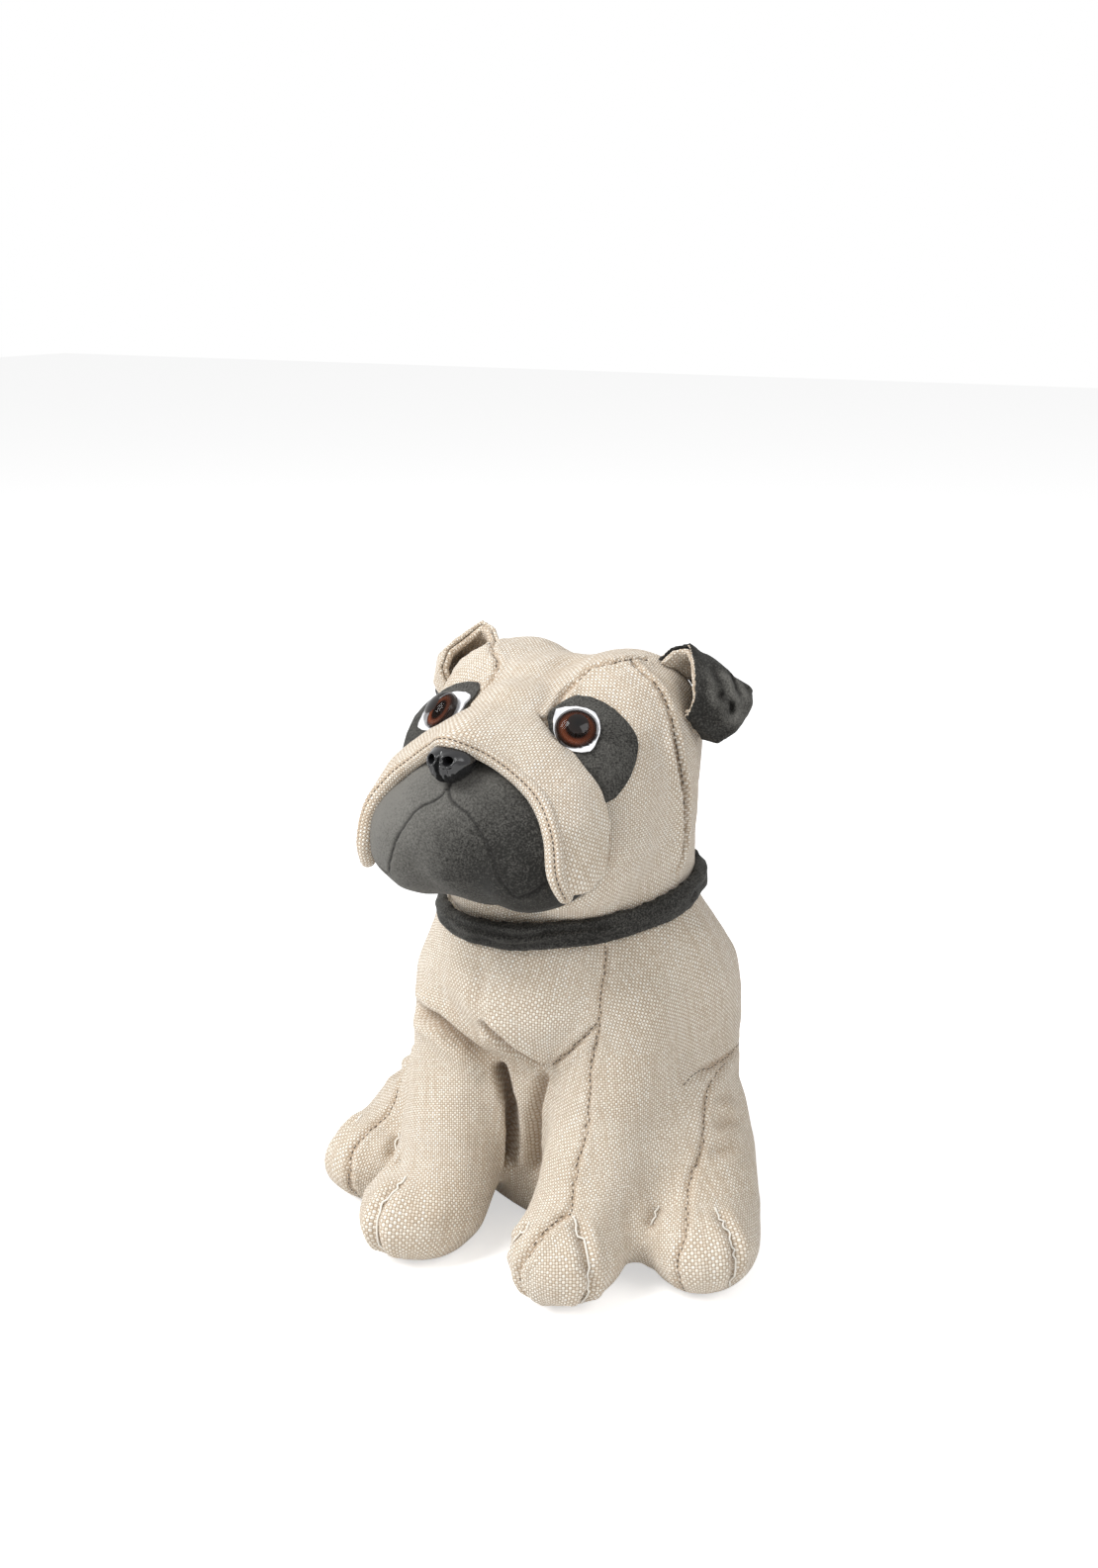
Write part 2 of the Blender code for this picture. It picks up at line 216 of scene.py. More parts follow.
class Sculpt:
    def __init__(self, obj):
        self.obj = obj
        self.points = readPoints(obj.data)
        self.normals = readNormals(obj.data)
        self.recessShade = np.zeros(len(self.points))
        self.hollow = np.zeros(len(self.points))
        self.paintedLight = np.zeros(len(self.points))
        self.tree = surfaceTree(obj)

    def furrow(self, line, depth, width, lip=0.3, pucker=0.0, every=6.0, fade=0.12, shade=1.0, hollow=0.0,
               push=None):
        # a groove along the line with raised lips beside it, in millimetres, puckered every so often
        # fade is the share of the line at each end where it runs out; shade and hollow set how much shade is painted
        # into its colour
        path = traceLine(line, self.tree)
        near, distance, along, side, total = nearLine(self.points, path, width * 7 * mm)
        w = width * mm
        run = total * fade + 1e-9
        ends = np.clip(along / run, 0, 1) * np.clip((total - along) / run, 0, 1)
        ends = ends * ends * (3 - 2 * ends)
        valley = np.exp(-(distance / w) ** 2)
        shoulder = np.exp(-((distance - 2.4 * w) / (1.5 * w)) ** 2)
        beat = np.sin(along / (every * mm) * 2 * math.pi + 1.7 * np.sin(along / (every * mm * 2.7)))
        move = depth * mm * (-valley + lip * shoulder)
        move += pucker * mm * beat * np.exp(-(distance / (3.2 * w)) ** 2)
        # a push is one direction for both faces of a thin cloth
        facing = self.normals[near] if push is None else np.array(push)
        self.points[near] += facing * (move * ends)[:, None]
        self.recessShade[near] = np.maximum(self.recessShade[near], shade * valley * ends)
        self.hollow[near] = np.maximum(self.hollow[near], hollow * valley * ends)
        return path

    def cut(self, cover, name, turn=list):
        return self.furrow(turn(cover[name]), **cover["cuts"][name])

    def bulge(self, centre, radii, amount):
        gap = (self.points - np.array(centre) * mm) / (np.array(radii) * mm)
        self.points += self.normals * (amount * mm * np.exp(-(gap ** 2).sum(1)))[:, None]

    def ripple(self, size, amount, seed):
        value = np.array([noise.noise(Vector(p)) for p in self.points * (1 / (size * mm)) + seed * 13.7])
        self.points += self.normals * (value * amount * mm)[:, None]

    def refresh(self):
        writePoints(self.obj.data, self.points)
        self.normals = readNormals(self.obj.data)
        self.tree = surfaceTree(self.obj)

    def done(self):
        writePoints(self.obj.data, self.points)
        # painted shade and painted light are stored for the colour, as attributes
        for label, values in (("recessShade", self.recessShade), ("hollow", self.hollow), ("paintedLight", self.paintedLight)):
            floatAttribute(self.obj.data, label, np.clip(values, -1, 1).astype(np.float32))


def layCloth(obj, panelOf):
    # cuts the cover into panels, lays each flat at its real size, and turns its threads upright
    bm = bmesh.new()
    bm.from_mesh(obj.data)
    bm.normal_update()
    bm.faces.ensure_lookup_table()
    panel = [panelOf(face.calc_center_median() / mm, face.normal) for face in bm.faces]
    for edge in bm.edges:
        edge.seam = len({panel[face.index] for face in edge.link_faces}) > 1
    groups = islands(bm.faces, lambda face: [other for edge in face.edges if not edge.seam
                                             for other in edge.link_faces])
    panelNumber = {face.index: number for number, group in enumerate(groups) for face in group}
    bm.to_mesh(obj.data)
    bm.free()
    bpy.context.view_layer.objects.active = obj
    obj.select_set(True)
    bpy.ops.object.mode_set(mode="EDIT")
    bpy.ops.mesh.select_all(action="SELECT")
    bpy.ops.uv.unwrap(method="ANGLE_BASED", margin=0.001)
    bpy.ops.object.mode_set(mode="OBJECT")
    obj.select_set(False)
    mesh = obj.data
    uv = readAll(mesh.uv_layers.active.data, "uv", 2)
    loopVert = np.zeros(len(mesh.loops), np.int32)
    mesh.loops.foreach_get("vertex_index", loopVert)
    points = readPoints(mesh)
    corners = [[] for _ in groups]
    owner = np.zeros(len(mesh.loops), int)
    for polygon in mesh.polygons:
        loops = list(polygon.loop_indices)
        number = panelNumber[polygon.index]
        owner[loops] = number
        for k in range(1, len(loops) - 1):
            corners[number].append((loops[0], loops[k], loops[k + 1]))
    for number, triples in enumerate(corners):
        t = np.array(triples)
        u1, u2 = uv[t[:, 1]] - uv[t[:, 0]], uv[t[:, 2]] - uv[t[:, 0]]
        p1 = points[loopVert[t[:, 1]]] - points[loopVert[t[:, 0]]]
        p2 = points[loopVert[t[:, 2]]] - points[loopVert[t[:, 0]]]
        flat = u1[:, 0] * u2[:, 1] - u1[:, 1] * u2[:, 0]
        real = np.linalg.norm(np.cross(p1, p2), axis=1)
        size = math.sqrt(real.sum() / max(np.abs(flat).sum(), 1e-12))
        safe = np.where(np.abs(flat) < 1e-12, 1e-12, flat)
        best = None
        for axis in (2, 1):
            du = (p1[:, axis] * u2[:, 1] - p2[:, axis] * u1[:, 1]) / safe
            dv = (p2[:, axis] * u1[:, 0] - p1[:, axis] * u2[:, 0]) / safe
            slope = np.array([(du * real).sum(), (dv * real).sum()]) / max(real.sum(), 1e-12)
            if best is None or np.linalg.norm(best) < min(0.25 * size, np.linalg.norm(slope)):
                best = slope
        angle = math.pi / 2 - math.atan2(best[1], best[0])
        turn = np.array([[math.cos(angle), math.sin(angle)], [-math.sin(angle), math.cos(angle)]]) * size
        mine = owner == number
        uv[mine] = uv[mine] @ turn + np.array([0.0137 * number, 0.0091 * number])
    mesh.uv_layers.active.data.foreach_set("uv", uv.astype(np.float32).ravel())
    print(obj.name, "panels", len(corners))


def stitchRow(name, paths, tree, settings):
    # short capsules of thread, one after the other, half sunk in the cloth
    seed = bmesh.new()
    bmesh.ops.create_uvsphere(seed, u_segments=6, v_segments=4, radius=1.0)
    template = newMesh("stitch", seed)
    rows = bmesh.new()
    pitch, length, thick = settings["pitch"] * mm, settings["length"] * mm, settings["thick"] * mm
    for path in paths:
        legs = np.linalg.norm(np.diff(path, axis=0), axis=1)
        marks = np.concatenate([[0], np.cumsum(legs)])
        places = np.arange(pitch * 0.5, marks[-1] - pitch * 0.25, pitch)
        for place in places:
            a, b = [Vector([np.interp(place + s * length / 2, marks, path[:, k]) for k in range(3)])
                    for s in (-1, 1)]
            middle = (a + b) / 2
            spot, normal = tree.find_nearest(middle)[:2]
            forward = (b - a).normalized()
            across = normal.cross(forward).normalized()
            lift = spot + normal * settings["lift"] * mm
            start = len(rows.verts)
            rows.from_mesh(template)
            rows.verts.ensure_lookup_table()
            for vert in rows.verts[start:]:
                x, y, z = vert.co
                vert.co = lift + forward * z * length / 2 + across * x * thick / 2 + normal * y * thick / 2
    mesh = newMesh(name, rows)
    bpy.data.meshes.remove(template)
    mesh.shade_smooth()
    return addObject(name, mesh)


def longThread(name, paths, tree, thick, lift):
    # a thread drawn tight along each path, as a thin round cord with closed ends
    curve = bpy.data.curves.new(name, "CURVE")
    curve.dimensions = "3D"
    curve.bevel_depth = thick / 2 * mm
    curve.bevel_resolution = 2
    curve.use_fill_caps = True
    for path in paths:
        path = path[int(len(path) * 0.06):int(len(path) * 0.94)]
        for again in range(4):
            path = np.vstack([path[:1], (path[:-2] + path[1:-1] + path[2:]) / 3, path[-1:]])
        spline = curve.splines.new("POLY")
        spline.points.add(len(path) - 1)
        for point, place in zip(spline.points, path):
            spot, normal = tree.find_nearest(Vector(place))[:2]
            point.co = (*(spot + normal * lift * mm), 1)
    obj = addObject(name, curve)
    mesh = evaluatedMesh(obj)
    bpy.data.objects.remove(obj)
    bm = bmesh.new()
    bm.from_mesh(mesh)
    bmesh.ops.remove_doubles(bm, verts=bm.verts, dist=1e-6)
    bm.to_mesh(mesh)
    bm.free()
    mesh.name = name
    mesh.materials.clear()
    mesh.shade_smooth()
    return addObject(name, mesh)


# helpers for materials

def addNode(tree, kind, links=(), **values):
    node = tree.nodes.new(kind)
    for key, value in values.items():
        if hasattr(node, key) and key not in node.inputs:
            setattr(node, key, value)
        else:
            node.inputs[key].default_value = value
    for socket, source in dict(links).items():
        tree.links.new(source, node.inputs[socket])
    return node


def noiseValue(tree, place, scale, detail, **more):
    return addNode(tree, "ShaderNodeTexNoise", {"Vector": place}, Scale=scale, Detail=detail, **more).outputs["Fac"]


def attribute(tree, name):
    return addNode(tree, "ShaderNodeAttribute", attribute_name=name).outputs["Fac"]


def mapRange(tree, value, low, high, toLow=0.0, toHigh=1.0, kind="LINEAR"):
    node = addNode(tree, "ShaderNodeMapRange", {"Value": value}, interpolation_type=kind)
    for key, bound in {"From Min": low, "From Max": high, "To Min": toLow, "To Max": toHigh}.items():
        node.inputs[key].default_value = bound
    return node.outputs[0]


def colourRamp(tree, value, stops):
    # the first and last stops come first, as a new ramp has two
    node = addNode(tree, "ShaderNodeValToRGB", {"Fac": value})
    marks = node.color_ramp.elements
    for mark, (position, colour) in zip(marks, (stops[0], stops[-1])):
        mark.position = position
        mark.color = (*colour, 1)
    for position, colour in stops[1:-1]:
        marks.new(position).color = (*colour, 1)
    return node.outputs[0]


def addBump(tree, shader, height, strength, distance):
    bump = addNode(tree, "ShaderNodeBump", {"Height": height}, Strength=strength, Distance=distance * mm)
    tree.links.new(bump.outputs[0], shader.inputs["Normal"])


def math2(tree, operation, a, b=0.0, c=None):
    node = tree.nodes.new("ShaderNodeMath")
    node.operation = operation
    for index, value in enumerate((a, b) if c is None else (a, b, c)):
        if isinstance(value, (int, float)):
            node.inputs[index].default_value = value
        else:
            tree.links.new(value, node.inputs[index])
    return node.outputs[0]


def mixColour(tree, factor, a, b, blend="MIX"):
    node = tree.nodes.new("ShaderNodeMix")
    node.data_type = "RGBA"
    node.blend_type = blend
    node.clamp_factor = True
    for index, value in ((0, factor), (6, a), (7, b)):
        if isinstance(value, (int, float)):
            node.inputs[index].default_value = value
        elif isinstance(value, tuple):
            node.inputs[index].default_value = (*value, 1)
        else:
            tree.links.new(value, node.inputs[index])
    return node.outputs[2]


def newGroup(name, inputs, outputs):
    tree = bpy.data.node_groups.new(name, "ShaderNodeTree")
    for label, kind, value in inputs:
        socket = tree.interface.new_socket(label, in_out="INPUT", socket_type=kind)
        if value is not None:
            socket.default_value = value
    for label, kind in outputs:
        tree.interface.new_socket(label, in_out="OUTPUT", socket_type=kind)
    return tree, tree.nodes.new("NodeGroupInput"), tree.nodes.new("NodeGroupOutput")


def buildWeave():
    # over and under threads of a plain weave, with thick and thin yarns
    tree, given, result = newGroup(
        "plainWeave",
        [("Place", "NodeSocketVector", None), ("Threads", "NodeSocketFloat", 880.0),
         ("Wander", "NodeSocketFloat", 0.7)],
        [("Height", "NodeSocketFloat"), ("Tone", "NodeSocketFloat"), ("Slub", "NodeSocketFloat")])
    scaled = addNode(tree, "ShaderNodeVectorMath", {0: given.outputs["Place"]}, operation="SCALE")
    tree.links.new(given.outputs["Threads"], scaled.inputs["Scale"])
    drift = addNode(tree, "ShaderNodeTexNoise", {"Vector": scaled.outputs[0]}, Scale=0.11, Detail=1.5)
    centred = addNode(tree, "ShaderNodeVectorMath", {0: drift.outputs["Color"]}, operation="SUBTRACT")
    centred.inputs[1].default_value = (0.5, 0.5, 0.5)
    drifted = addNode(tree, "ShaderNodeVectorMath", {0: centred.outputs[0]}, operation="SCALE")
    tree.links.new(given.outputs["Wander"], drifted.inputs["Scale"])
    place = addNode(tree, "ShaderNodeVectorMath", {0: scaled.outputs[0], 1: drifted.outputs[0]}, operation="ADD")
    parts = addNode(tree, "ShaderNodeSeparateXYZ", {0: place.outputs[0]})
    x, y = parts.outputs[0], parts.outputs[1]
    columnNumber, rowNumber = math2(tree, "FLOOR", x), math2(tree, "FLOOR", y)
    over = math2(tree, "MODULO", math2(tree, "ABSOLUTE", math2(tree, "ADD", columnNumber, rowNumber)), 2.0)
    acrossX = math2(tree, "ABSOLUTE", math2(tree, "SINE", math2(tree, "MULTIPLY", x, math.pi)))
    acrossY = math2(tree, "ABSOLUTE", math2(tree, "SINE", math2(tree, "MULTIPLY", y, math.pi)))

    def crown(across, alongside):
        return math2(tree, "MULTIPLY", math2(tree, "POWER", across, 0.65),
                     math2(tree, "MULTIPLY_ADD", alongside, 0.6, 0.4))

    warpTop, weftTop = crown(acrossX, acrossY), math2(tree, "MULTIPLY", crown(acrossY, acrossX), 0.5)
    cell = addNode(tree, "ShaderNodeCombineXYZ", {0: columnNumber, 1: rowNumber})
    chance = addNode(tree, "ShaderNodeTexWhiteNoise", {"Vector": cell.outputs[0]},
                     noise_dimensions="3D").outputs["Value"]
    height = addNode(tree, "ShaderNodeMix", {0: over, 2: weftTop, 3: warpTop})

    def yarn(number, run, shift):
        spot = addNode(tree, "ShaderNodeCombineXYZ", {0: math2(tree, "MULTIPLY", number, 3.71),
                                                      1: math2(tree, "MULTIPLY", run, 0.045)})
        spot.inputs[2].default_value = shift
        return noiseValue(tree, spot.outputs[0], 1.0, 2.0)

    warpTone, weftTone = yarn(columnNumber, y, 3.3), yarn(rowNumber, x, 9.1)
    tone = addNode(tree, "ShaderNodeMix", {0: over, 2: math2(tree, "SUBTRACT", weftTone, 0.16),
                                           3: math2(tree, "ADD", warpTone, 0.06)})
    speckled = math2(tree, "MULTIPLY_ADD", math2(tree, "SUBTRACT", chance, 0.5), 0.16, tone.outputs[0])
    slub = mapRange(tree, speckled, 0.64, 0.78)
    grown = math2(tree, "MULTIPLY_ADD", slub, 0.3, math2(tree, "MULTIPLY_ADD", chance, 0.25, 0.85))
    tree.links.new(math2(tree, "MULTIPLY", height.outputs[0], grown), result.inputs["Height"])
    tree.links.new(speckled, result.inputs["Tone"])
    tree.links.new(slub, result.inputs["Slub"])
    return tree


def buildNap():
    # brushed nap: fine fibre specks, and clouds where a hand has turned the pile
    tree, given, result = newGroup(
        "brushedNap",
        [("Place", "NodeSocketVector", None), ("Fibre", "NodeSocketFloat", 1500.0),
         ("Cloud", "NodeSocketFloat", 60.0)],
        [("Speck", "NodeSocketFloat"), ("Cloud", "NodeSocketFloat"), ("Height", "NodeSocketFloat")])
    speck = addNode(tree, "ShaderNodeTexNoise", {"Vector": given.outputs["Place"], "Scale": given.outputs["Fibre"]},
                    Detail=3.0, Roughness=0.65)
    cloud = addNode(tree, "ShaderNodeTexNoise", {"Vector": given.outputs["Place"], "Scale": given.outputs["Cloud"]},
                    Detail=3.0, Roughness=0.6, Distortion=0.6)
    tree.links.new(mapRange(tree, speck.outputs["Fac"], 0.35, 0.68), result.inputs["Speck"])
    tree.links.new(cloud.outputs["Fac"], result.inputs["Cloud"])
    height = math2(tree, "MULTIPLY_ADD", cloud.outputs["Fac"], 0.6, speck.outputs["Fac"])
    tree.links.new(height, result.inputs["Height"])
    return tree


def startMaterial(name):
    material = bpy.data.materials.new(name)
    material.use_nodes = True
    tree = material.node_tree
    return material, tree, tree.nodes["Principled BSDF"]


def useGroup(tree, group, **values):
    node = tree.nodes.new("ShaderNodeGroup")
    node.node_tree = group
    for key, value in values.items():
        if isinstance(value, (int, float)):
            node.inputs[key].default_value = value
        else:
            tree.links.new(value, node.inputs[key])
    return node


linen = {
    "thread": (0.90, 0.845, 0.745),
    "slub": (0.96, 0.935, 0.87),
    "dull": (0.655, 0.56, 0.445),
    "gap": (0.40, 0.30, 0.205),
    # painted shade: the shadow and recess colours are painted into creases and hollows
    "shadow": (0.10, 0.058, 0.032),
    "recessShade": (0.42, 0.28, 0.165),
    "threadsPerMetre": 900.0,
    "relief": 0.5,
}


def linenMaterial(weave):
    material, tree, shader = startMaterial("wovenLinen")
    place = addNode(tree, "ShaderNodeUVMap")
    cloth = useGroup(tree, weave, Place=place.outputs[0], Threads=linen["threadsPerMetre"])
    yarn = mixColour(tree, mapRange(tree, cloth.outputs["Tone"], 0.30, 0.62), linen["dull"], linen["thread"])
    yarn = mixColour(tree, math2(tree, "MULTIPLY", cloth.outputs["Slub"], 0.75), yarn, linen["slub"])
    spot = addNode(tree, "ShaderNodeTexCoord").outputs["Object"]
    fade = mapRange(tree, noiseValue(tree, spot, 28.0, 3.0), 0.35, 0.7, 0.0, 0.28)
    yarn = mixColour(tree, fade, yarn, linen["slub"])
    crown = mapRange(tree, cloth.outputs["Height"], 0.08, 0.62, kind="SMOOTHSTEP")
    colour = mixColour(tree, crown, linen["gap"], yarn)
    # painted shade: seams and creases darkened towards a brown shade colour
    shadeAmount = math2(tree, "MULTIPLY", attribute(tree, "recessShade"), 0.4)
    colour = mixColour(tree, shadeAmount, colour, linen["recessShade"])
    # painted shadow: deep creases and the gaps between the legs darkened towards the shadow colour
    hollow = math2(tree, "MULTIPLY", attribute(tree, "hollow"), 0.75)
    tree.links.new(mixColour(tree, hollow, colour, linen["shadow"]), shader.inputs["Base Color"])
    height = math2(tree, "MULTIPLY_ADD", noiseValue(tree, spot, 2600.0, 2.0), 0.25, cloth.outputs["Height"])
    addBump(tree, shader, height, 0.85, linen["relief"])
    shader.inputs["Roughness"].default_value = 0.88
    shader.inputs["Sheen Weight"].default_value = 0.12
    shader.inputs["Sheen Roughness"].default_value = 0.5
    shader.inputs["Specular IOR Level"].default_value = 0.25
    return material


suede = {
    "dark": (0.013, 0.0125, 0.0110),
    "light": (0.158, 0.153, 0.140),
    # painted shade: the colour painted into the suede's seams and pleats
    "recessShade": (0.012, 0.011, 0.010),
    "fibre": 1250.0,
    "cloud": 45.0,
}


def suedeMaterial(nap):
    material, tree, shader = startMaterial("charcoalSuede")
    spot = addNode(tree, "ShaderNodeTexCoord").outputs["Object"]
    pile = useGroup(tree, nap, Place=spot, Fibre=suede["fibre"], Cloud=suede["cloud"])
    clouds = mapRange(tree, pile.outputs["Cloud"], 0.3, 0.72, -0.12, 0.14)
    amount = math2(tree, "MULTIPLY_ADD", pile.outputs["Speck"], 0.6, clouds)
    amount = math2(tree, "ADD", amount, attribute(tree, "paintedLight"))  # painted light and shade: lighter where light falls, darker where shade falls
    colour = mixColour(tree, amount, suede["dark"], suede["light"])
    # painted shade: seams and pleats darkened towards near black
    shadeAmount = math2(tree, "MULTIPLY", attribute(tree, "recessShade"), 0.75)
    tree.links.new(mixColour(tree, shadeAmount, colour, suede["recessShade"]), shader.inputs["Base Color"])
    addBump(tree, shader, pile.outputs["Height"], 0.5, 0.35)
    shader.inputs["Roughness"].default_value = 0.75
    shader.inputs["Sheen Weight"].default_value = 0.05
    shader.inputs["Sheen Roughness"].default_value = 0.4
    shader.inputs["Sheen Tint"].default_value = (0.82, 0.84, 0.80, 1)
    shader.inputs["Specular IOR Level"].default_value = 0.16
    return material


def fineMaterial(name, dark, light, grain, detail, strength, depth, **more):
    # one fine noise for colour and relief
    material, tree, shader = startMaterial(name)
    spot = addNode(tree, "ShaderNodeTexCoord").outputs["Object"]
    fibres = noiseValue(tree, spot, grain, detail, **more)
    tree.links.new(mixColour(tree, fibres, dark, light), shader.inputs["Base Color"])
    addBump(tree, shader, fibres, strength, depth)
    return material, shader


def feltMaterial():
    material, shader = fineMaterial("whiteFelt", (0.74, 0.75, 0.78), (0.93, 0.93, 0.95), 1400.0, 4.0, 0.4, 0.2,
                                    Distortion=1.2)
    shader.inputs["Roughness"].default_value = 0.95
    return material


def threadMaterial(name, dark, light):
    material, shader = fineMaterial(name, dark, light, 3000.0, 2.0, 0.4, 0.1)
    shader.inputs["Roughness"].default_value = 0.7
    return material


eyeColours = {
    # from the middle to the rim: black pupil, amber ring, dark rim
    "paint": [(0.47, (0.004, 0.003, 0.003)), (0.53, (0.045, 0.013, 0.006)), (0.61, (0.170, 0.045, 0.020)),
              (0.74, (0.230, 0.072, 0.034)), (0.84, (0.120, 0.034, 0.017)), (0.91, (0.035, 0.012, 0.008)),
              (0.985, (0.012, 0.006, 0.005))],
    # how solid the clear plastic looks: black over the pupil, clear over the ring
    "veil": [(0.0, (1.0,) * 3), (0.46, (1.0,) * 3), (0.53, (0.3,) * 3), (0.8, (0.3,) * 3), (1.0, (0.7,) * 3)],
}


def eyeMaterial():
    # the painted disc under the dome, with painted light: lighter towards the bottom and the dog's right
    material, tree, shader = startMaterial("amberEye")
    paint = colourRamp(tree, attribute(tree, "ring"), eyeColours["paint"])
    paintedGlow = mixColour(tree, attribute(tree, "paintedGlow"), (0.55, 0.55, 0.55), (1.5, 1.4, 1.35))
    tree.links.new(mixColour(tree, 1.0, paint, paintedGlow, "MULTIPLY"), shader.inputs["Base Color"])
    shader.inputs["Roughness"].default_value = 1.0
    shader.inputs["Specular IOR Level"].default_value = 0.0
    return material


def domeMaterial():
    # clear plastic over the paint: mostly see-through, with a sharp reflection
    material, tree, shader = startMaterial("clearDome")
    ring = attribute(tree, "ring")
    tree.links.new(colourRamp(tree, ring, eyeColours["veil"]), shader.inputs["Alpha"])
    tree.links.new(mixColour(tree, ring, (0.004, 0.004, 0.004), (0.02, 0.010, 0.007)), shader.inputs["Base Color"])
    shader.inputs["Roughness"].default_value = 0.03
    shader.inputs["IOR"].default_value = 1.5
    shader.inputs["Specular IOR Level"].default_value = 0.28
    return material


def noseMaterial():
    material, shader = fineMaterial("glossyNose", (0.006, 0.006, 0.007), (0.013, 0.013, 0.014), 320.0, 2.0, 0.08,
                                    0.3)
    shader.inputs["Roughness"].default_value = 0.14
    shader.inputs["Coat Weight"].default_value = 0.2
    shader.inputs["Coat Roughness"].default_value = 0.04
    return material


weave, nap = buildWeave(), buildNap()
linenCloth = linenMaterial(weave)
suedeCloth = suedeMaterial(nap)
whiteFelt = feltMaterial()
darkThread = threadMaterial("darkThread", (0.030, 0.024, 0.018), (0.085, 0.065, 0.048))
paleThread = threadMaterial("paleThread", (0.70, 0.66, 0.58), (0.92, 0.90, 0.85))
blackThread = threadMaterial("blackThread", (0.012, 0.012, 0.012), (0.040, 0.040, 0.038))
amberEye = eyeMaterial()
clearDome = domeMaterial()
glossyNose = noseMaterial()
print("materials ready")


def settle(obj, material, nodes=()):
    obj.data.materials.clear()
    obj.data.materials.append(material)
    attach(obj, "root")
    if nodes:
        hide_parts(*nodes)


# body cover

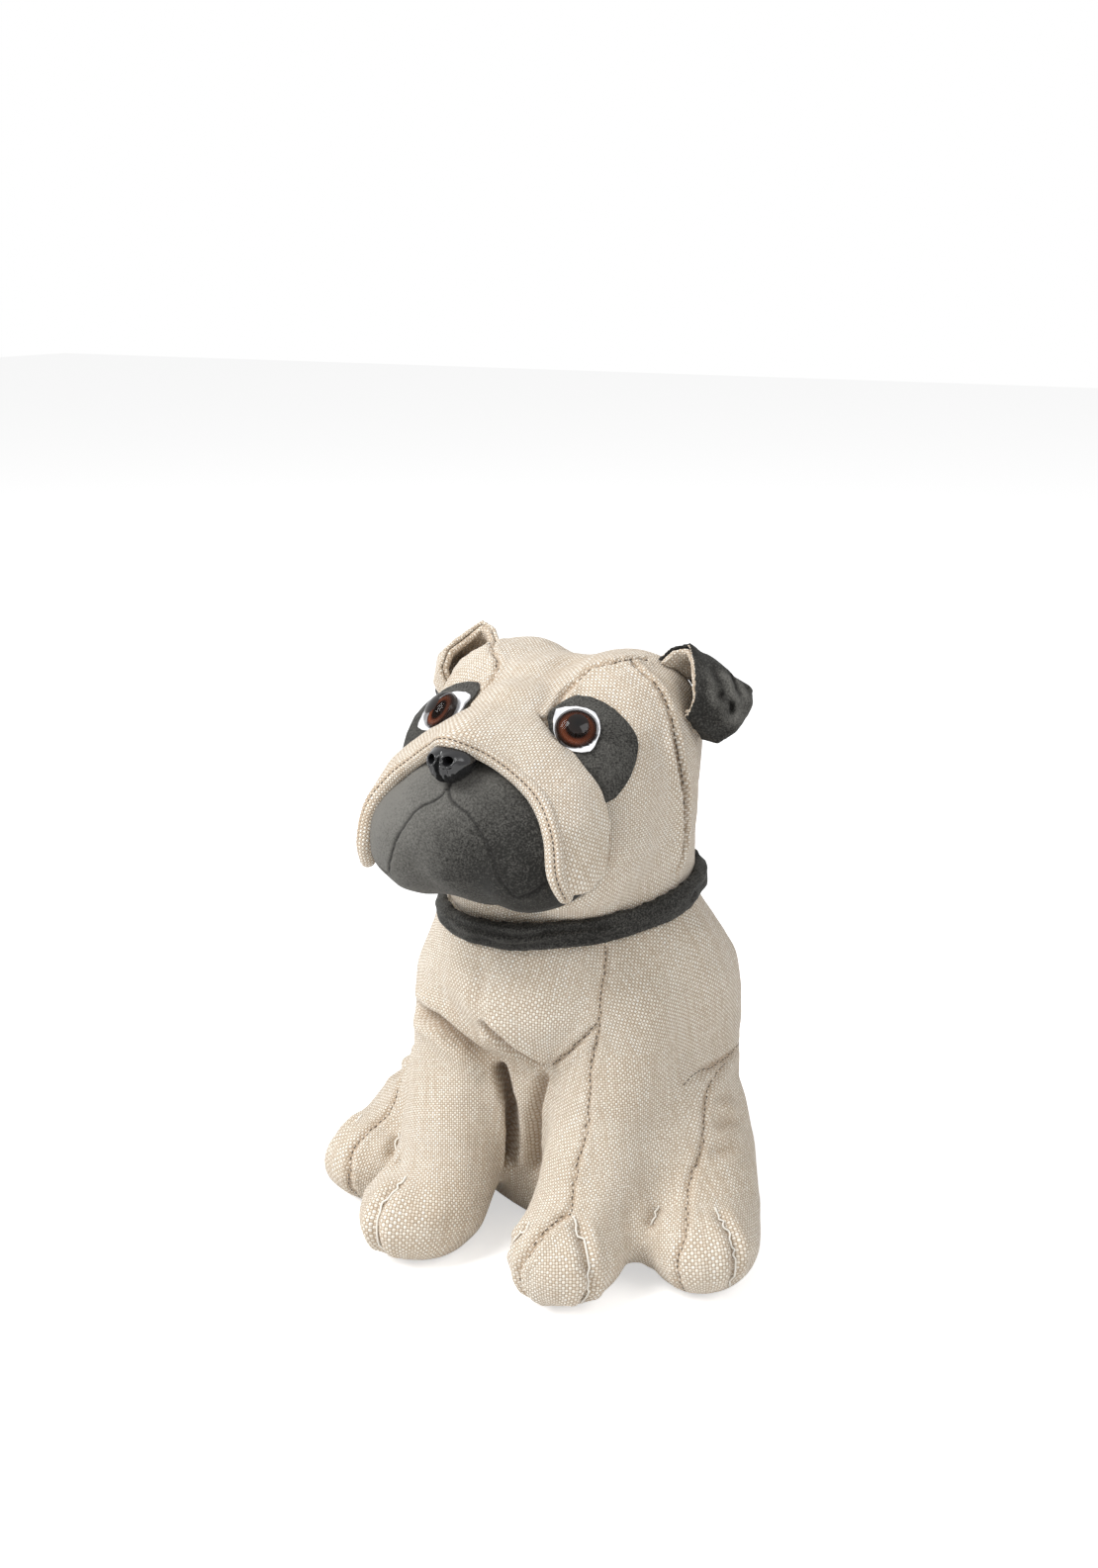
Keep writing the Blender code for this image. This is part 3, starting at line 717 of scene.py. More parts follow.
toeSeam = dict(depth=2.2, width=1.7, lip=0.5, pucker=0.15, every=7, fade=0.02)
toeThread = dict(depth=2.8, width=2.4, lip=0.45, fade=0.15, shade=0.5)
hindToeThread = {**toeThread, "depth": 2.6}
bodyCover = {
    "cell": 4.6 * mm,
    "smoothing": 3,
    "chestSeam": [(34, -18.2, 158), (33.8, -21, 150.7), (36, -22, 136.2), (38.5, -24.5, 120.3), (38.7, -25.5, 105.2),
                  (39.3, -29, 87.6), (39.5, -37, 66.8), (38.9, -44.8, 50.6), (42.6, -62, 39.4)],
    "chestBranch": [(38.5, -24.5, 120.3), (33.7, -25.6, 116.9), (29.1, -26, 112.8), (23.8, -25.5, 107.2),
                    (19, -22.5, 100.8)],
    "toeSeamLeft": [(42.6, -62, 39.4), (39, -70.5, 34.2), (37, -76.4, 24.8), (35.5, -75.6, 12), (35, -73, 4)],
    "toeLeftOuter": [(43.5, -64.4, 37.9), (49.1, -68.4, 34), (52.2, -72.8, 25.9), (51.2, -72.2, 16),
                     (49.9, -70.2, 8.8)],
    "toeLeftInner": [(29.9, -69.2, 32.1), (24.5, -72.4, 26), (21.4, -67, 21.2)],
    "toeSeamRight": [(-47, -56, 40.5), (-55, -63, 33), (-60, -65.5, 22), (-60, -63, 8)],
    "toeRightInner": [(-39.5, -66, 37.5), (-40.4, -70.2, 34.5), (-42.2, -74.1, 29.8), (-42.1, -77, 20.1),
                      (-42, -75, 10)],
    "thighArc": [(70, 58, 84), (72.5, 48.4, 86), (73.7, 27.2, 89.2), (69.9, 13.2, 88.8), (66.6, 3.8, 87.8),
                 (64.2, -5.4, 85)],
    "hindSeam": [(74.7, 23.1, 87), (72.9, 13.3, 85.5), (71.5, 4.2, 80), (72.5, -3.2, 68.1), (74.3, -7.8, 50.7),
                 (80.5, -21, 38.9), (87.8, -35, 24.8), (87.5, -37, 8)],
    "hindToeInner": [(69, -24, 35), (67, -27.5, 28), (65.8, -28, 22.4), (66, -27.8, 12)],
    "hindToeOuter": [(92, -24, 38), (93.6, -25, 36.4), (100.2, -29.2, 29.4), (102.4, -31.2, 19.7), (101, -29.4, 10)],
    "shoulderFold": [(-52, -20.5, 107.5), (-38.9, -25.2, 105.8), (-29.8, -24.5, 98.5),
                     (-22.1, -21.7, 90.7), (-16.3, -19, 85.5)],
    "chestFold": [(-9.7, -37, 122), (-2, -37.2, 116.1), (5.8, -31.3, 106.1), (12.3, -24.9, 101.2), (17.7, -21, 98)],
    "legGapRight": [(-19, -20, 91), (-17.6, -19.2, 86.9), (-15.8, -18.2, 76.1), (-14.8, -18.6, 61.5),
                    (-14.6, -20.7, 47.2), (-14.4, -23.4, 30.3)],
    "legGapLeft": [(16.5, -20, 95.4), (9.5, -15.8, 78), (3.2, -10.4, 51.9), (-3, -6, 30)],
    "chestDent": [(-14.8, -29.1, 142.9), (-9.1, -36.0, 132.2), (-7.5, -37.2, 120.2)],
    # the chest hangs over the folds, and the belly lies back between the legs: centre, radii, amount
    "bulges": [((-16, -34, 130), (28, 22, 14), 4.0), ((14, -32, 122), (16, 16, 14), 3.5),
               ((2, -22, 92), (15, 16, 9), -5.0), ((-3, -14, 62), (12, 16, 24), -2.0),
               ((-30, -30, 84), (13, 13, 24), 3.0), ((-30, -30, 50), (12, 13, 18), 1.5)],
    "thighDents": [([(73.2, -3.6, 65.9), (80, 4.9, 65.5), (85.3, 20, 65)], 2.2),
                   ([(73.5, -6.6, 54.9), (82.2, -2, 53.7), (88.6, 7.3, 55.2)], 1.8),
                   ([(72.5, 0.5, 74.8), (78.6, 10.5, 75.2), (81.8, 24.7, 74.2)], 1.6)],
    "cuts": {
        "chestSeam": dict(depth=1.1, width=1.15, lip=0.4, pucker=0.22, every=7, fade=0.02),
        "chestBranch": dict(depth=1.4, width=1.2, lip=0.45, pucker=0.2, every=6, fade=0.05),
        "toeSeamLeft": toeSeam, "toeSeamRight": toeSeam,
        "thighArc": dict(depth=2.4, width=1.8, lip=0.4, pucker=0.3, every=8, fade=0.35),
        "hindSeam": dict(depth=1.4, width=1.4, lip=0.45, pucker=0.35, every=7, fade=0.05),
        "toeLeftOuter": toeThread, "toeLeftInner": toeThread, "toeRightInner": toeThread,
        "hindToeInner": hindToeThread, "hindToeOuter": hindToeThread,
        "shoulderFold": dict(depth=6.0, width=3.0, lip=0.5, fade=0.3, hollow=0.35),
        "chestFold": dict(depth=9.0, width=3.0, fade=0.2, hollow=0.9),
        "legGapRight": dict(depth=11.0, width=2.3, lip=0.1, fade=0.1, hollow=0.9),
        "legGapLeft": dict(depth=5.0, width=2.8, lip=0.15, fade=0.15, shade=0.9, hollow=0.35),
        "chestDent": dict(depth=1.3, width=3.0, fade=0.5, shade=0.3),
    },
    "stitches": {"pitch": 2.9, "length": 2.1, "thick": 0.5, "lift": 0.02},
}


def bodyPanel(place, normal):
    x, y, z = abs(place.x), place.y, place.z
    side = 1 if place.x > 0 else -1
    if normal.z < -0.75 and z < 14:
        return ("seat", side if x > 30 else 0)
    hind = (x - 74) ** 2 / 30 ** 2 + (y - 16) ** 2 / 48 ** 2 + (z - 40) ** 2 / 52 ** 2 < 1 and x > 56
    if hind:
        seam = np.interp(z, (0, 24, 37, 47, 77, 88), (87.5, 86.8, 81.8, 75.1, 73.1, 76.4))
        return ("hind", side, x > seam, y > 30)
    leg = y < -6 and z < 108 and abs(x - 38) < 31
    if leg and (z < 92 or x > 20):
        seam = np.interp(z, (0, 24.8, 34.2, 39.4, 50.6, 87.6), (35, 37, 39, 42.6, 38.9, 39.3)) if side > 0 else 56
        return ("leg", side, x > seam, y > -14 + (92 - z) * -0.16)
    seam = np.interp(z, (87.6, 120.3, 136.2, 150.7), (39.3, 38.5, 36, 33.8)) if side > 0 else 52
    if x < seam and y < 16:
        return "chest"
    return ("side", side, y > 50 and z < 100)


bodyObj = addObject("body_cover", mergedCopy("body"))
restuff(bodyObj, bodyCover["cell"], bodyCover["smoothing"])
layCloth(bodyObj, bodyPanel)
finer(bodyObj, 2)
print("body cover", len(bodyObj.data.polygons))

body = Sculpt(bodyObj)
for centre, radii, amount in bodyCover["bulges"]:
    body.bulge(centre, radii, amount)
body.refresh()
seamPaths = [body.cut(bodyCover, name) for name in ("chestSeam", "chestBranch", "toeSeamLeft", "toeSeamRight")]
for turn in (list, mirrored):
    seamPaths += [body.cut(bodyCover, name, turn) for name in ("thighArc", "hindSeam")]
threadPaths = [body.cut(bodyCover, name) for name in ("toeLeftOuter", "toeLeftInner", "toeRightInner")]
for turn in (list, mirrored):
    threadPaths += [body.cut(bodyCover, name, turn) for name in ("hindToeInner", "hindToeOuter")]
# folds of the cloth without a seam
for name in ("shoulderFold", "chestFold", "legGapRight", "legGapLeft", "chestDent"):
    body.cut(bodyCover, name)
for line, depth in bodyCover["thighDents"]:
    for turn in (list, mirrored):
        body.furrow(turn(line), depth, 2.8, lip=0.8, fade=0.5, shade=0.5)
body.ripple(26, 1.3, 1)
body.ripple(11, 0.5, 2)
body.points[:, 2] = np.maximum(body.points[:, 2], 0)
body.refresh()
body.done()
settle(bodyObj, linenCloth, ["body"])
settle(stitchRow("body_seam_stitches", seamPaths, body.tree, bodyCover["stitches"]), darkThread)
settle(longThread("toe_threads", threadPaths, body.tree, thick=0.95, lift=0.5), paleThread)
print("body seams done")


# head cover, with the padded lip flap sewn on in one piece

headCover = {
    "cell": 2.5 * mm,
    "smoothing": 2,
    "flapEdge": [(0, -87.2, 252), (12, -80.2, 247), (24, -76.2, 239), (35, -76.2, 230), (43, -80.2, 218),
                 (46, -82.2, 203), (48, -78.2, 193)],
    "flapBase": [(0, -37.2, 260), (15, -47.2, 255), (31, -52.8, 244.5), (46.5, -51.8, 232), (53, -51.2, 219),
                 (55, -56.2, 203), (52, -65.2, 192)],
    "edgeRadius": (3.5, 3.3, 3.6, 4.0, 4.0, 4.0, 3.5),
    "flapCrease": [(14.2, -44, 256), (20, -44.4, 253), (28.4, -45.2, 248), (35.5, -46.2, 243), (44.3, -48.8, 235.2),
                   (49.1, -49, 228), (53.2, -52.2, 218.2), (54.4, -56.6, 207), (53.5, -60.8, 197.6)],
    "browSeam": [(38.1, 11.9, 271.1), (35.1, 6.7, 270.8), (32.9, 1.2, 269.1), (27.7, -6, 265.2), (22.8, -10, 262.9),
                 (19.7, -16.4, 260.4)],
    "patchEdge": [(19.7, -16.4, 260.4), (17.4, -25.8, 258.6), (18.4, -37.6, 255.2), (19.7, -43.8, 253.3)],
    "sideSeam": [(33.1, 0.7, 268.7), (40.6, -0.9, 264.8), (47.7, -0.9, 258), (52.8, -2.4, 250), (58.2, -5, 237.2),
                 (59.4, -1.2, 223.6), (56.4, 7.1, 203.6), (54.9, 7.9, 189.8), (53.2, 6.1, 179.2)],
    "valley": [(8.4, 9.1, 270.3), (6.9, -3.1, 268.4), (5.8, -15.6, 265.9), (6.1, -26.9, 265.1)],
    "cuts": {
        "browSeam": dict(depth=1.2, width=1.1, lip=0.45, pucker=0.22, every=6, fade=0.03),
        "patchEdge": dict(depth=1.6, width=1.1, lip=0.5, fade=0.05),
        "sideSeam": dict(depth=1.6, width=1.3, lip=0.4, pucker=0.22, every=7, fade=0.03),
        "flapCrease": dict(depth=2.6, width=1.2, lip=0.1, fade=0.06, hollow=0.8),
        "valley": dict(depth=2.2, width=6.0, fade=0.4, shade=0.15),
    },
    "stitches": {"pitch": 2.9, "length": 2.1, "thick": 0.6, "lift": 0.02},
    # the cover is pressed in under the rolled hem
    "hemReach": 6.0, "hemInset": 1.1, "hemBlend": 1.5, "hemEase": 3.0,
}
flapTree = surfaceTree(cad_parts["lip_flap"])


def headPanel(place, normal):
    x, y, z = abs(place.x), place.y, place.z
    side = 1 if place.x > 0 else -1
    near = flapTree.find_nearest(place * mm)
    if near[0] is not None and near[3] < 1.2 * mm:
        return "centre" if z > 236 else ("flap", side, normal.y > 0.3)
    brow = np.interp(y, (-63, -16.6, -7.3, 0.2, 6.4), (17, 19.4, 26.1, 32.4, 36.7))
    if z > 225 and x < brow and y < 66:
        return "centre"
    if z < 176 and normal.z < -0.6:
        return "chin"
    if y < np.interp(z, (180, 198.7, 220, 243.7, 258.7, 265.5), (9.1, 8.9, -4.2, -7.2, -3.7, -1.8)):
        return ("cheek", side, z < 196)
    return ("back", side)


headObj = addObject("head_cover", mergedCopy("head", "lip_flap"))
restuff(headObj, headCover["cell"], headCover["smoothing"])
layCloth(headObj, headPanel)
finer(headObj, 2)
print("head cover", len(headObj.data.polygons))

head = Sculpt(headObj)
# the rolled hem of the flap: a clean round edge from one lip over the nose to the other
edge, base = [traceLine(mirrored(headCover[name][:0:-1]) + headCover[name], perSpan=16)
              for name in ("flapEdge", "flapBase")]
radii = headCover["edgeRadius"]
radius = np.interp(np.linspace(-6, 6, len(edge)), range(-6, 7), radii[:0:-1] + radii) * mm
along = unit(np.gradient(edge, axis=0))
outward = edge - base
outward = unit(outward - along * (outward * along).sum(1)[:, None])
upward = np.cross(along, outward)
upward *= np.sign((upward * (edge - np.array([0, 0, 0.2]))).sum(1))[:, None]
near, distance, place, side, total = nearLine(head.points, edge, headCover["hemReach"] * mm)
marks = np.concatenate([[0], np.cumsum(np.linalg.norm(np.diff(edge, axis=0), axis=1))])
station = np.clip(np.searchsorted(marks, place), 0, len(edge) - 1)
out = (side * outward[station]).sum(1)
size = radius[station]
inset = headCover["hemInset"] * mm
weight = np.clip((out / mm + headCover["hemBlend"]) / headCover["hemBlend"], 0, 1)
weight *= np.clip(size / mm + headCover["hemEase"] - distance / mm, 0, 1)
weight *= distance > size - inset
target = head.points[near] - side + side / np.maximum(distance, 1e-6)[:, None] * (size[:, None] - inset)
head.points[near] += (target - head.points[near]) * weight[:, None]
head.refresh()
headPaths = []
for turn in (list, mirrored):
    headPaths.append(head.cut(headCover, "browSeam", turn))
    head.cut(headCover, "patchEdge", turn)
    headPaths.append(head.cut(headCover, "sideSeam", turn))
    head.furrow(turn(headCover["sideSeam"][3:]), 3.6, 1.6, lip=0.4, fade=0.2, hollow=0.7)
    head.cut(headCover, "flapCrease", turn)
head.cut(headCover, "valley")
head.ripple(24, 1.0, 4)
head.ripple(10, 0.35, 5)
head.refresh()
head.done()
settle(headObj, linenCloth, ["head", "lip_flap"])
settle(stitchRow("head_seam_stitches", headPaths, head.tree, headCover["stitches"]), darkThread)

flapHem = {
    "sides": 32, "slack": 0.1, "capLength": 0.9, "capTilts": (20, 40, 58, 74, 86), "lump": 0.06, "lumpSize": 9,
    "groove": math.radians(50), "grooveWidth": math.radians(9), "grooveDepth": 0.3, "stitchDepth": 0.7,
    "clothRadius": 3.6, "bias": 0.7071,  # the cloth is cut at 45 degrees
    "stitches": {"pitch": 2.4, "length": 1.7, "thick": 0.55, "lift": 0.05},
}
bm = bmesh.new()
sides = flapHem["sides"]
rows = [(edge[j], radius[j], j, marks[j]) for j in range(len(edge))]
for end, sense in ((0, -1), (len(edge) - 1, 1)):
    for tilt in flapHem["capTilts"]:
        lean = math.radians(tilt)
        middle = edge[end] + along[end] * sense * math.sin(lean) * radius[end] * flapHem["capLength"]
        rows.append((middle, radius[end] * math.cos(lean), end, marks[end] + sense * lean * radius[end]))
rows.sort(key=lambda row: row[3])
rings, groove = [], []
for middle, reach, j, place in rows:
    ring = bmesh.ops.create_circle(bm, segments=sides, radius=1.0)["verts"]
    for k, vert in enumerate(ring):
        angle = -math.pi / 2 + 2 * math.pi * k / sides
        dent = math.exp(-((angle - flapHem["groove"]) / flapHem["grooveWidth"]) ** 2)
        spot = Vector((place / (flapHem["lumpSize"] * mm), math.cos(angle), math.sin(angle)))
        lump = noise.noise(spot) * flapHem["lump"]
        length = (reach - flapHem["slack"] * mm) * (1 - flapHem["grooveDepth"] * dent + lump)
        vert.co = middle + (outward[j] * math.cos(angle) + upward[j] * math.sin(angle)) * length
        groove.append(dent)
    rings.append(list({e for v in ring for e in v.link_edges}))
for first, second in zip(rings, rings[1:]):
    bmesh.ops.bridge_loops(bm, edges=first + second)
bmesh.ops.holes_fill(bm, edges=[e for e in bm.edges if e.is_boundary])
bmesh.ops.recalc_face_normals(bm, faces=bm.faces)
bm.verts.index_update()
uvLayer = bm.loops.layers.uv.new("UVMap")
for face in bm.faces:
    around = [loop.vert.index % sides for loop in face.loops]
    for loop, k in zip(face.loops, around):
        if max(around) - min(around) > sides / 2 and k < sides / 2:
            k += sides
        u = k / sides * 2 * math.pi * flapHem["clothRadius"] * mm
        v = rows[loop.vert.index // sides][3]
        loop[uvLayer].uv = ((u + v) * flapHem["bias"], (v - u) * flapHem["bias"])
mesh = newMesh("flap_hem", bm)
mesh.shade_smooth()
# painted shade in the hem's stitch groove
floatAttribute(mesh, "recessShade", groove)
hemObj = addObject("flap_hem", mesh)
settle(hemObj, linenCloth)
groove = outward * math.cos(flapHem["groove"]) + upward * math.sin(flapHem["groove"])
hemPath = edge + groove * radius[:, None] * flapHem["stitchDepth"]
settle(stitchRow("flap_hem_stitches", [hemPath], surfaceTree(hemObj), flapHem["stitches"]), darkThread)
print("head cover done")


# muzzle

muzzleCover = {
    "cell": 2.6 * mm,
    "smoothing": 2,
    "centreSeam": [(0.0, -88.5, 240.5), (0.2, -89.5, 236.0), (0.5, -89.8, 232.5)],
    "fork": [(0.5, -90.6, 235), (3.5, -92.3, 229.9), (12.6, -94, 225.2), (17.9, -93.2, 217.9),
             (22.6, -91.9, 210.1), (26.2, -88.5, 201.6), (29.8, -84.8, 193.4)],
    "dart": [(29.8, -84.8, 193.4), (33.5, -82.0, 196.5), (37.5, -78.5, 202.0)],
    "cuts": {
        "centreSeam": dict(depth=0.7, width=0.8, lip=0.5, pucker=0.1, every=5, fade=0.03),
        "fork": dict(depth=0.6, width=0.55, pucker=0.12, every=5, fade=0.02),
        "dart": dict(depth=0.9, width=0.8, lip=0.4, fade=0.2),
    },
    # painted light: the suede is painted lighter towards the dog's right and the top, the side the light falls on
    "lightSideX": -0.8, "lightSideZ": 0.55, "lightSideLevel": 0.207, "lightSideReach": 42 * mm, "lightSideBase": 0.12,
    "stitches": {"pitch": 2.0, "length": 1.5, "thick": 0.36, "lift": 0.0},
}
muzzleObj = addObject("muzzle_cover", mergedCopy("muzzle"))
restuff(muzzleObj, muzzleCover["cell"], muzzleCover["smoothing"])
finer(muzzleObj, 2)
muzzle = Sculpt(muzzleObj)
muzzlePaths = [muzzle.cut(muzzleCover, "centreSeam")]
for turn in (list, mirrored):
    muzzlePaths.append(muzzle.cut(muzzleCover, "fork", turn))
    muzzle.cut(muzzleCover, "dart", turn)
muzzle.ripple(15, 0.9, 7)
muzzle.ripple(6, 0.2, 8)
# painted light: lighter towards the dog's right and the top
across, level = muzzle.points[:, 0], muzzle.points[:, 2] - muzzleCover["lightSideLevel"]
lean = (muzzleCover["lightSideX"] * across + muzzleCover["lightSideZ"] * level) / muzzleCover["lightSideReach"]
muzzle.paintedLight = muzzleCover["lightSideBase"] + 0.8 * np.clip(lean, -0.45, 1)
muzzle.refresh()
muzzle.done()
settle(muzzleObj, suedeCloth, ["muzzle"])
settle(stitchRow("muzzle_seam_stitches", muzzlePaths, muzzle.tree, muzzleCover["stitches"]), blackThread)
print("muzzle done")


# collar

collarBand = {
    "cell": 1.05 * mm, "smoothing": 2, "centre": (0.0, 11.75, 163.0), "tilt": (0.1, 0.1),
    # pleats run around the band and wander up and down: amount, waves around the neck, start
    "pitch": 4.1, "wander": ((1.1, 2, 0.6), (0.7, 5, 2.0), (0.35, 11, 0.0)), "pleatDepth": 0.8,
    "swell": 0.8, "outerSwell": 1.0, "paintedLight": 0.14,
}
collarObj = addObject("collar_band", mergedCopy("collar"))
restuff(collarObj, collarBand["cell"], collarBand["smoothing"])
finer(collarObj, 1)
collar = Sculpt(collarObj)
middle = np.array(collarBand["centre"]) * mm
around = np.arctan2(collar.points[:, 0] - middle[0], -(collar.points[:, 1] - middle[1]))
level = (collar.points[:, 2] - middle[2] - collarBand["tilt"][0] * collar.points[:, 0]
         - collarBand["tilt"][1] * (collar.points[:, 1] - middle[1])) / mm
outward = np.stack([np.sin(around), -np.cos(around), np.zeros(len(around))], 1)
facing = np.clip((collar.normals * outward).sum(1), 0, 1)
wander = sum(amount * np.sin(around * waves + start) for amount, waves, start in collarBand["wander"])
pleats = np.sin((level + wander) * 2 * math.pi / collarBand["pitch"])
deepness = 0.55 + 0.3 * np.sin(around * 3 + 1)
swell = collarBand["swell"] + facing * collarBand["outerSwell"]
collar.points += collar.normals * ((swell + pleats * facing * deepness * collarBand["pleatDepth"]) * mm)[:, None]
# painted shade in the pleat valleys
collar.recessShade = np.clip(-pleats - 0.35, 0, 1) * facing * deepness
# painted shade: the collar's suede is painted darker
collar.paintedLight -= collarBand["paintedLight"]
collar.ripple(16, 0.5, 9)
collar.done()
settle(collarObj, suedeCloth, ["collar"])
print("collar done")


# ears: linen lining inside a suede back

earShape = {
    "cell": 0.85 * mm,
    "smoothing": 3,
    "folds": [[(61.9, 21.7, 269), (65.4, 18.8, 258.7), (66.5, 20, 252), (64.5, 21.5, 245)],
              [(66, 24.5, 269), (69, 23.5, 259), (70.5, 22.5, 251), (69.5, 25, 242)],
              [(70.5, 29, 267), (73.5, 29, 258), (74.5, 29, 250), (74, 31, 243)]],
    "fold": {"depth": 3.4, "width": 1.8, "lip": 0.6, "fade": 0.2, "push": (0.6, -0.8, 0.0)},
    "foldLight": 0.16, "paintedLight": 0.24, "liningShade": {1: 0.15, -1: 0.5}, "plump": 0.2, "liningPlump": 0.5,
}


def clothPanel(place, normal):
    size = [abs(c) for c in normal]
    axis = size.index(max(size))
    return (axis, normal[axis] > 0)


# both faces of the thin cloth are pushed the same way by a fold
for sideName, sign in (("left", 1), ("right", -1)):
    back = addObject("ear_suede_" + sideName, mergedCopy("ear_back_" + sideName))
    restuff(back, earShape["cell"], earShape["smoothing"])
    layCloth(back, clothPanel)
    if sign > 0:
        isLinen = [face.normal.x < -0.3 for face in back.data.polygons]
    else:  # this ear is turned, so its lining shows in front
        isLinen = [face.center.z > 0.245 or face.center.x > -0.067 for face in back.data.polygons]
    sculpted = Sculpt(back)
    lining = addObject("ear_linen_" + sideName, mergedCopy("ear_lining_" + sideName))
    restuff(lining, earShape["cell"], earShape["smoothing"] - 1)
    layCloth(lining, clothPanel)
    lined = Sculpt(lining)
    if sign > 0:
        for fold in earShape["folds"]:
            start = sculpted.points.copy()
            sculpted.furrow(fold, **earShape["fold"])
            # painted light and shade: the suede is lighter where a fold stands out and darker in its valleys
            moved = (sculpted.points - start) @ np.array(earShape["fold"]["push"])
            sculpted.paintedLight += moved / mm * earShape["foldLight"]
            lined.tree = sculpted.tree
            lined.furrow(fold, **earShape["fold"], shade=0)
    else:
        lined.points += lined.normals * earShape["liningPlump"] * mm
        sculpted.points += sculpted.normals * earShape["plump"] * mm
    # painted shade over the ear's lining, deeper inside the turned ear
    lined.recessShade += earShape["liningShade"][sign]
    # painted shade: the ears' suede is painted darker
    sculpted.paintedLight -= earShape["paintedLight"]
    sculpted.done()
    settle(back, suedeCloth, ["ear_back_" + sideName])
    back.data.materials.append(linenCloth)
    for face, inside in zip(back.data.polygons, isLinen):
        face.material_index = int(inside)
    lined.done()
    settle(lining, linenCloth, ["ear_lining_" + sideName])
print("ears done")


# toy eyes and nose

toyEye = {
    "centre": (31.9, -41.15, 250.2), "axis": (0.46, -0.62, 0.64), "rings": 40, "spokes": 72,
    "lift": 2.1, "radius": 9.1, "height": 6.0, "cut": -0.25,
    "paintLift": 0.5, "paintRadius": 8.5, "paintHeight": 0.9, "paintCut": -0.2,
    "pressReach": 0.2, "pressEase": 0.8, "feltLevel": 2.3, "patchLevel": 1.6,
}


def eyeCap(name, centre, axis, radius, height, cut):
    # a round cap with a flat back, and how far each point is from the middle as it is seen from the front
    ball = bmesh.new()
    bmesh.ops.create_uvsphere(ball, u_segments=toyEye["spokes"], v_segments=toyEye["rings"], radius=1.0)
    bmesh.ops.bisect_plane(ball, geom=ball.verts[:] + ball.edges[:] + ball.faces[:], plane_co=(0, 0, cut),
                           plane_no=(0, 0, -1), clear_outer=True)
    bmesh.ops.holes_fill(ball, edges=[e for e in ball.edges if e.is_boundary])
    ring = [min(1.0, math.hypot(v.co.x, v.co.y)) if v.co.z > cut + 0.01 else 1.0 for v in ball.verts]
    scale = Matrix.Diagonal((radius * mm, radius * mm, height * mm, 1))
    turn = axis.to_track_quat("Z", "Y").to_matrix().to_4x4()
    bmesh.ops.transform(ball, matrix=Matrix.Translation(centre) @ turn @ scale, verts=ball.verts)
    # painted light: the paint is lighter towards the bottom and the dog's right, as where light comes through the
    # dome
    paintedGlow = [min(1.0, max(0.0, 0.5 - (v.co.z - centre.z) / (14 * mm) - (v.co.x - centre.x) / (30 * mm)))
            for v in ball.verts]
    bmesh.ops.recalc_face_normals(ball, faces=ball.faces)
    mesh = newMesh(name, ball)
    mesh.shade_smooth()
    floatAttribute(mesh, "ring", ring)
    floatAttribute(mesh, "paintedGlow", paintedGlow)
    return addObject(name, mesh)


for sideName, sign in (("left", 1), ("right", -1)):
    flip = Vector((sign, 1, 1))
    axis = (Vector(toyEye["axis"]) * flip).normalized()
    centre = Vector(toyEye["centre"]) * flip * mm
    # felt and patch are pressed flat under the eye
    for label, node, material, slot, level in (
            ("felt_", "eye_white_", whiteFelt, "felt", toyEye["feltLevel"]),
            ("suede_patch_", "eye_patch_", suedeCloth, "suede", toyEye["patchLevel"])):
        piece = addObject(label + sideName, mergedCopy(node + sideName))
        bm = bmesh.new()
        bm.from_mesh(piece.data)
        bmesh.ops.subdivide_edges(bm, edges=bm.edges[:], cuts=3, use_grid_fill=True)
        for vert in bm.verts:
            rise = (vert.co - centre).dot(axis)
            gap = (vert.co - centre - axis * rise).length / mm
            press = (toyEye["radius"] + toyEye["pressReach"] - gap) / toyEye["pressEase"]
            if rise > level * mm:
                vert.co -= axis * (rise - level * mm) * min(1.0, max(0.0, press))
        bm.to_mesh(piece.data)
        bm.free()
        piece.data.shade_smooth()
        settle(piece, material, [node + sideName])
    centre += axis * toyEye["lift"] * mm
    dome = eyeCap("toy_eye_" + sideName, centre, axis, toyEye["radius"], toyEye["height"], toyEye["cut"])
    settle(dome, clearDome, ["eye_" + sideName])
    paint = eyeCap("eye_paint_" + sideName, centre + axis * toyEye["paintLift"] * mm, axis,
                   toyEye["paintRadius"], toyEye["paintHeight"], toyEye["paintCut"])
    settle(paint, amberEye)

# in shares of half the nose's box
noseShape = {
    "spokes": 128, "rings": 96, "taper": 0.30, "grooveDepth": 0.24, "grooveWidth": 0.07, "ridgeHeight": 0.09,
    "ridgePitch": 0.26, "ridgeReach": 0.5, "nostril": (0.36, 0.30), "hole": 0.17, "holeDepth": 0.5,
    "rimHeight": 0.10, "rimRadius": 0.27, "rimWidth": 0.09,
}


def under(z, level):
    return 1 / (1 + math.exp((z - level) * 12))


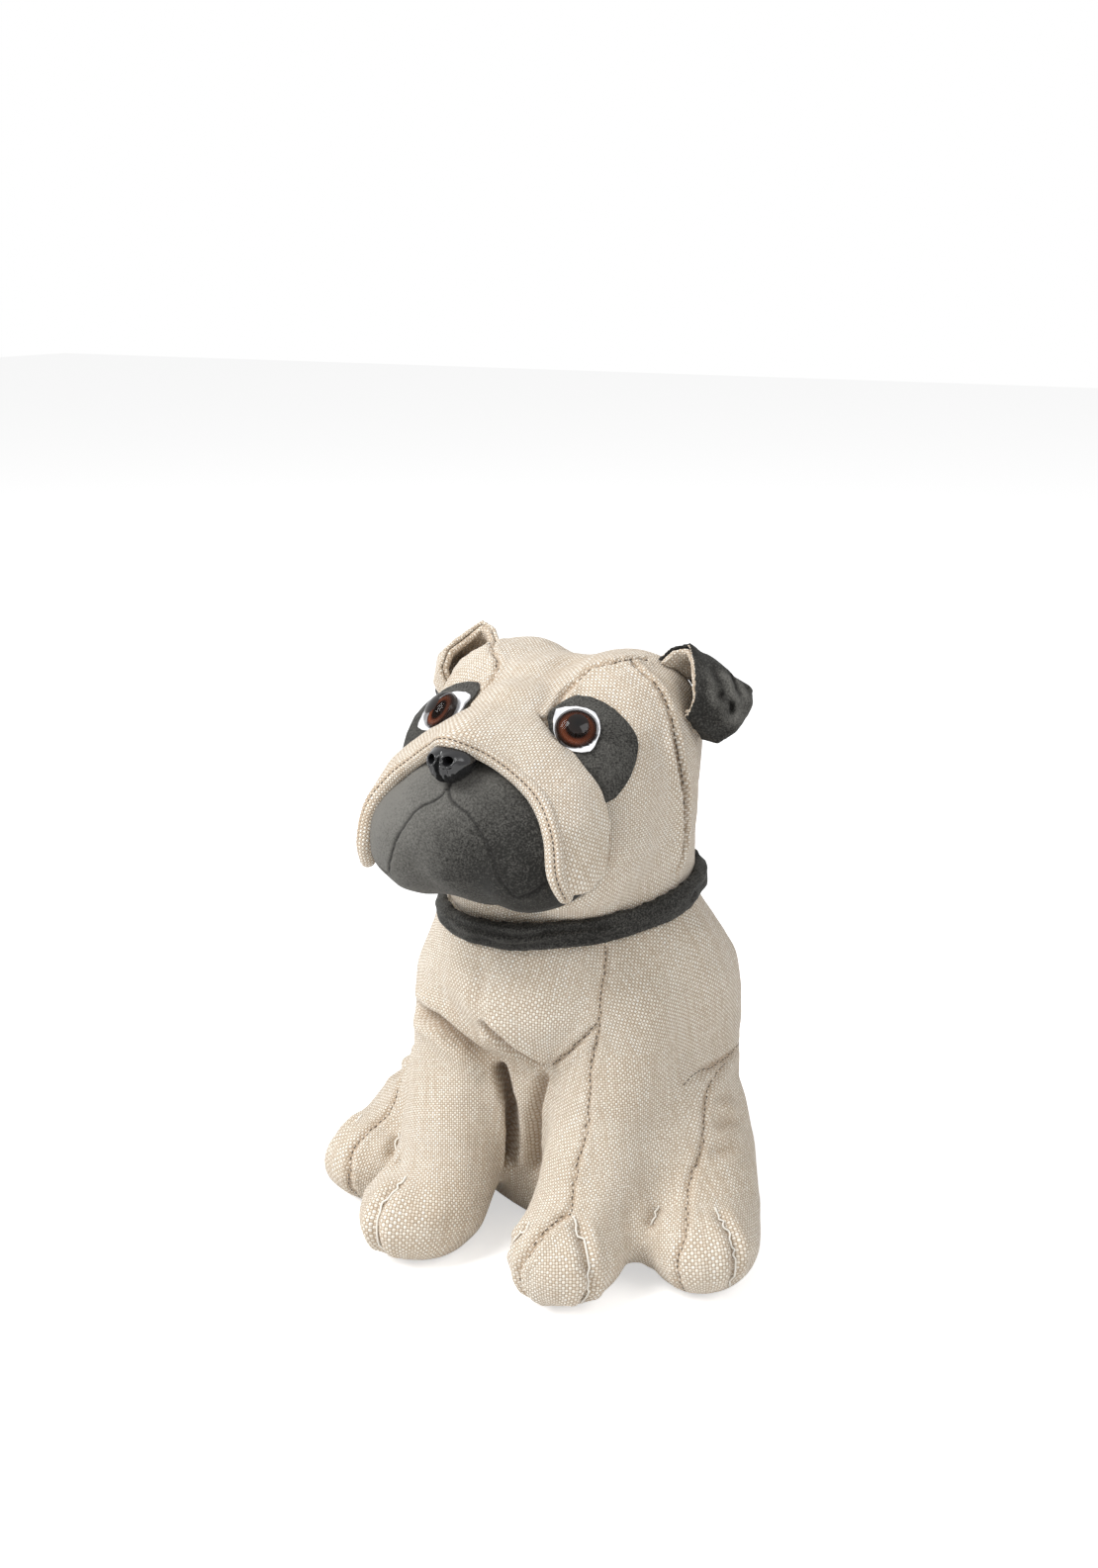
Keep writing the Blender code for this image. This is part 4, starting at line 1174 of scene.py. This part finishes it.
low, high = [Vector(corner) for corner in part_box("nose")]
noseMiddle, noseHalf = (low + high) / 2, (high - low) / 2
ball = bmesh.new()
bmesh.ops.create_uvsphere(ball, u_segments=noseShape["spokes"], v_segments=noseShape["rings"], radius=1.0)
for vert in ball.verts:
    x, y, z = vert.co
    narrow = 1 - noseShape["taper"] * max(0.0, 0.1 - z) ** 1.3
    x, z = x * narrow, z * (1.04 if z < 0 else 0.94)
    # centre groove, ridges beside it, and the two nostrils
    if y < 0:
        groove = noseShape["grooveDepth"] * math.exp(-(x / noseShape["grooveWidth"]) ** 2) * under(z, 0.5)
        wave = math.cos((abs(x) - noseShape["grooveWidth"]) * 2 * math.pi / noseShape["ridgePitch"])
        ridges = noseShape["ridgeHeight"] * wave * math.exp(-(x / noseShape["ridgeReach"]) ** 4) * under(z, 0.25)
        away = math.hypot(abs(x) - noseShape["nostril"][0], z - noseShape["nostril"][1])
        hole = noseShape["holeDepth"] * math.exp(-(away / noseShape["hole"]) ** 4)
        rim = noseShape["rimHeight"] * math.exp(-((away - noseShape["rimRadius"]) / noseShape["rimWidth"]) ** 2)
        y = y * 1.1 + (groove + ridges + hole - rim) * min(1.0, -y * 3)
    vert.co = (noseMiddle.x + x * noseHalf.x, noseMiddle.y + y * noseHalf.y, noseMiddle.z + z * noseHalf.z)
noseMesh = newMesh("toy_nose", ball)
noseMesh.shade_smooth()
settle(addObject("toy_nose", noseMesh), glossyNose, ["nose"])
print("eyes and nose done")


# floor, light and camera

studio = {"floorTone": 0.9, "floorGlow": 0.55, "worldDiffuse": 0.42, "keyPower": 40.0, "fillPower": 11.0}
bm = bmesh.new()
bmesh.ops.create_grid(bm, x_segments=1, y_segments=1, size=6.0)
floorMesh = newMesh("floor", bm)
floorObj = addObject("floor", floorMesh)
floorMaterial, tree, shader = startMaterial("paleFloor")
shader.inputs["Base Color"].default_value = (studio["floorTone"],) * 3 + (1,)
shader.inputs["Roughness"].default_value = 0.9
shader.inputs["Specular IOR Level"].default_value = 0.0


def backgroundRay(tree):
    # what the camera sees straight, in a reflection or through clear plastic
    lightPath = tree.nodes.new("ShaderNodeLightPath")
    straight = math2(tree, "MAXIMUM", lightPath.outputs["Is Camera Ray"],
                     lightPath.outputs["Is Transmission Ray"])
    return math2(tree, "MAXIMUM", straight, lightPath.outputs["Is Glossy Ray"])


glowNode = addNode(tree, "ShaderNodeEmission",
                   {"Strength": math2(tree, "MULTIPLY", backgroundRay(tree), studio["floorGlow"])})
both = addNode(tree, "ShaderNodeAddShader", {0: shader.outputs[0], 1: glowNode.outputs[0]})
tree.links.new(both.outputs[0], tree.nodes["Material Output"].inputs["Surface"])
floorMesh.materials.append(floorMaterial)

world = bpy.data.worlds.new("studio")
bpy.context.scene.world = world
world.use_nodes = True
tree = world.node_tree
background = tree.nodes["Background"]
background.inputs["Color"].default_value = (1, 1, 1, 1)
strength = math2(tree, "MULTIPLY_ADD", backgroundRay(tree), 1.0 - studio["worldDiffuse"], studio["worldDiffuse"])
tree.links.new(strength, background.inputs["Strength"])


def addLamp(name, place, target, size, power):
    lamp = bpy.data.lights.new(name, "AREA")
    lamp.shape = "RECTANGLE"
    lamp.size, lamp.size_y = size
    lamp.energy = power
    obj = bpy.data.objects.new(name, lamp)
    obj.location = place
    obj.rotation_euler = (Vector(target) - Vector(place)).to_track_quat("-Z", "Y").to_euler()
    bpy.context.scene.collection.objects.link(obj)


addLamp("key", (-0.75, -1.05, 1.55), (0, -0.02, 0.2), (1.0, 1.2), studio["keyPower"])
addLamp("fill", (1.5, -0.3, 1.4), (0, 0, 0.16), (1.1, 1.1), studio["fillPower"])

photoView = {"azimuth": 30.0, "elevation": 20.6, "distance": 0.85, "target": (0.003, -0.01325, 0.135),
             "pixelsPerMetre": 2252.0, "imageHeight": 1585.0, "targetRow": 973.0}
azimuth, elevation = math.radians(photoView["azimuth"]), math.radians(photoView["elevation"])
right = Vector((math.cos(azimuth), math.sin(azimuth), 0))
away = Vector((math.sin(azimuth) * math.cos(elevation), -math.cos(azimuth) * math.cos(elevation),
               math.sin(elevation)))
camera = bpy.data.cameras.new("photoView")
camera.sensor_width = 36
camera.lens = 36 * photoView["pixelsPerMetre"] * photoView["distance"] / photoView["imageHeight"]
camera.shift_y = (photoView["targetRow"] - photoView["imageHeight"] / 2) / photoView["imageHeight"]
cameraObj = bpy.data.objects.new("photoView", camera)
bpy.context.scene.collection.objects.link(cameraObj)
turn = Matrix((right, away.cross(right), away)).transposed().to_4x4()
cameraObj.matrix_world = Matrix.Translation(Vector(photoView["target"]) + away * photoView["distance"]) @ turn
bpy.context.scene.camera = cameraObj
bpy.context.scene.view_settings.view_transform = "Standard"

bpy.context.view_layer.update()
print("visual model ready")
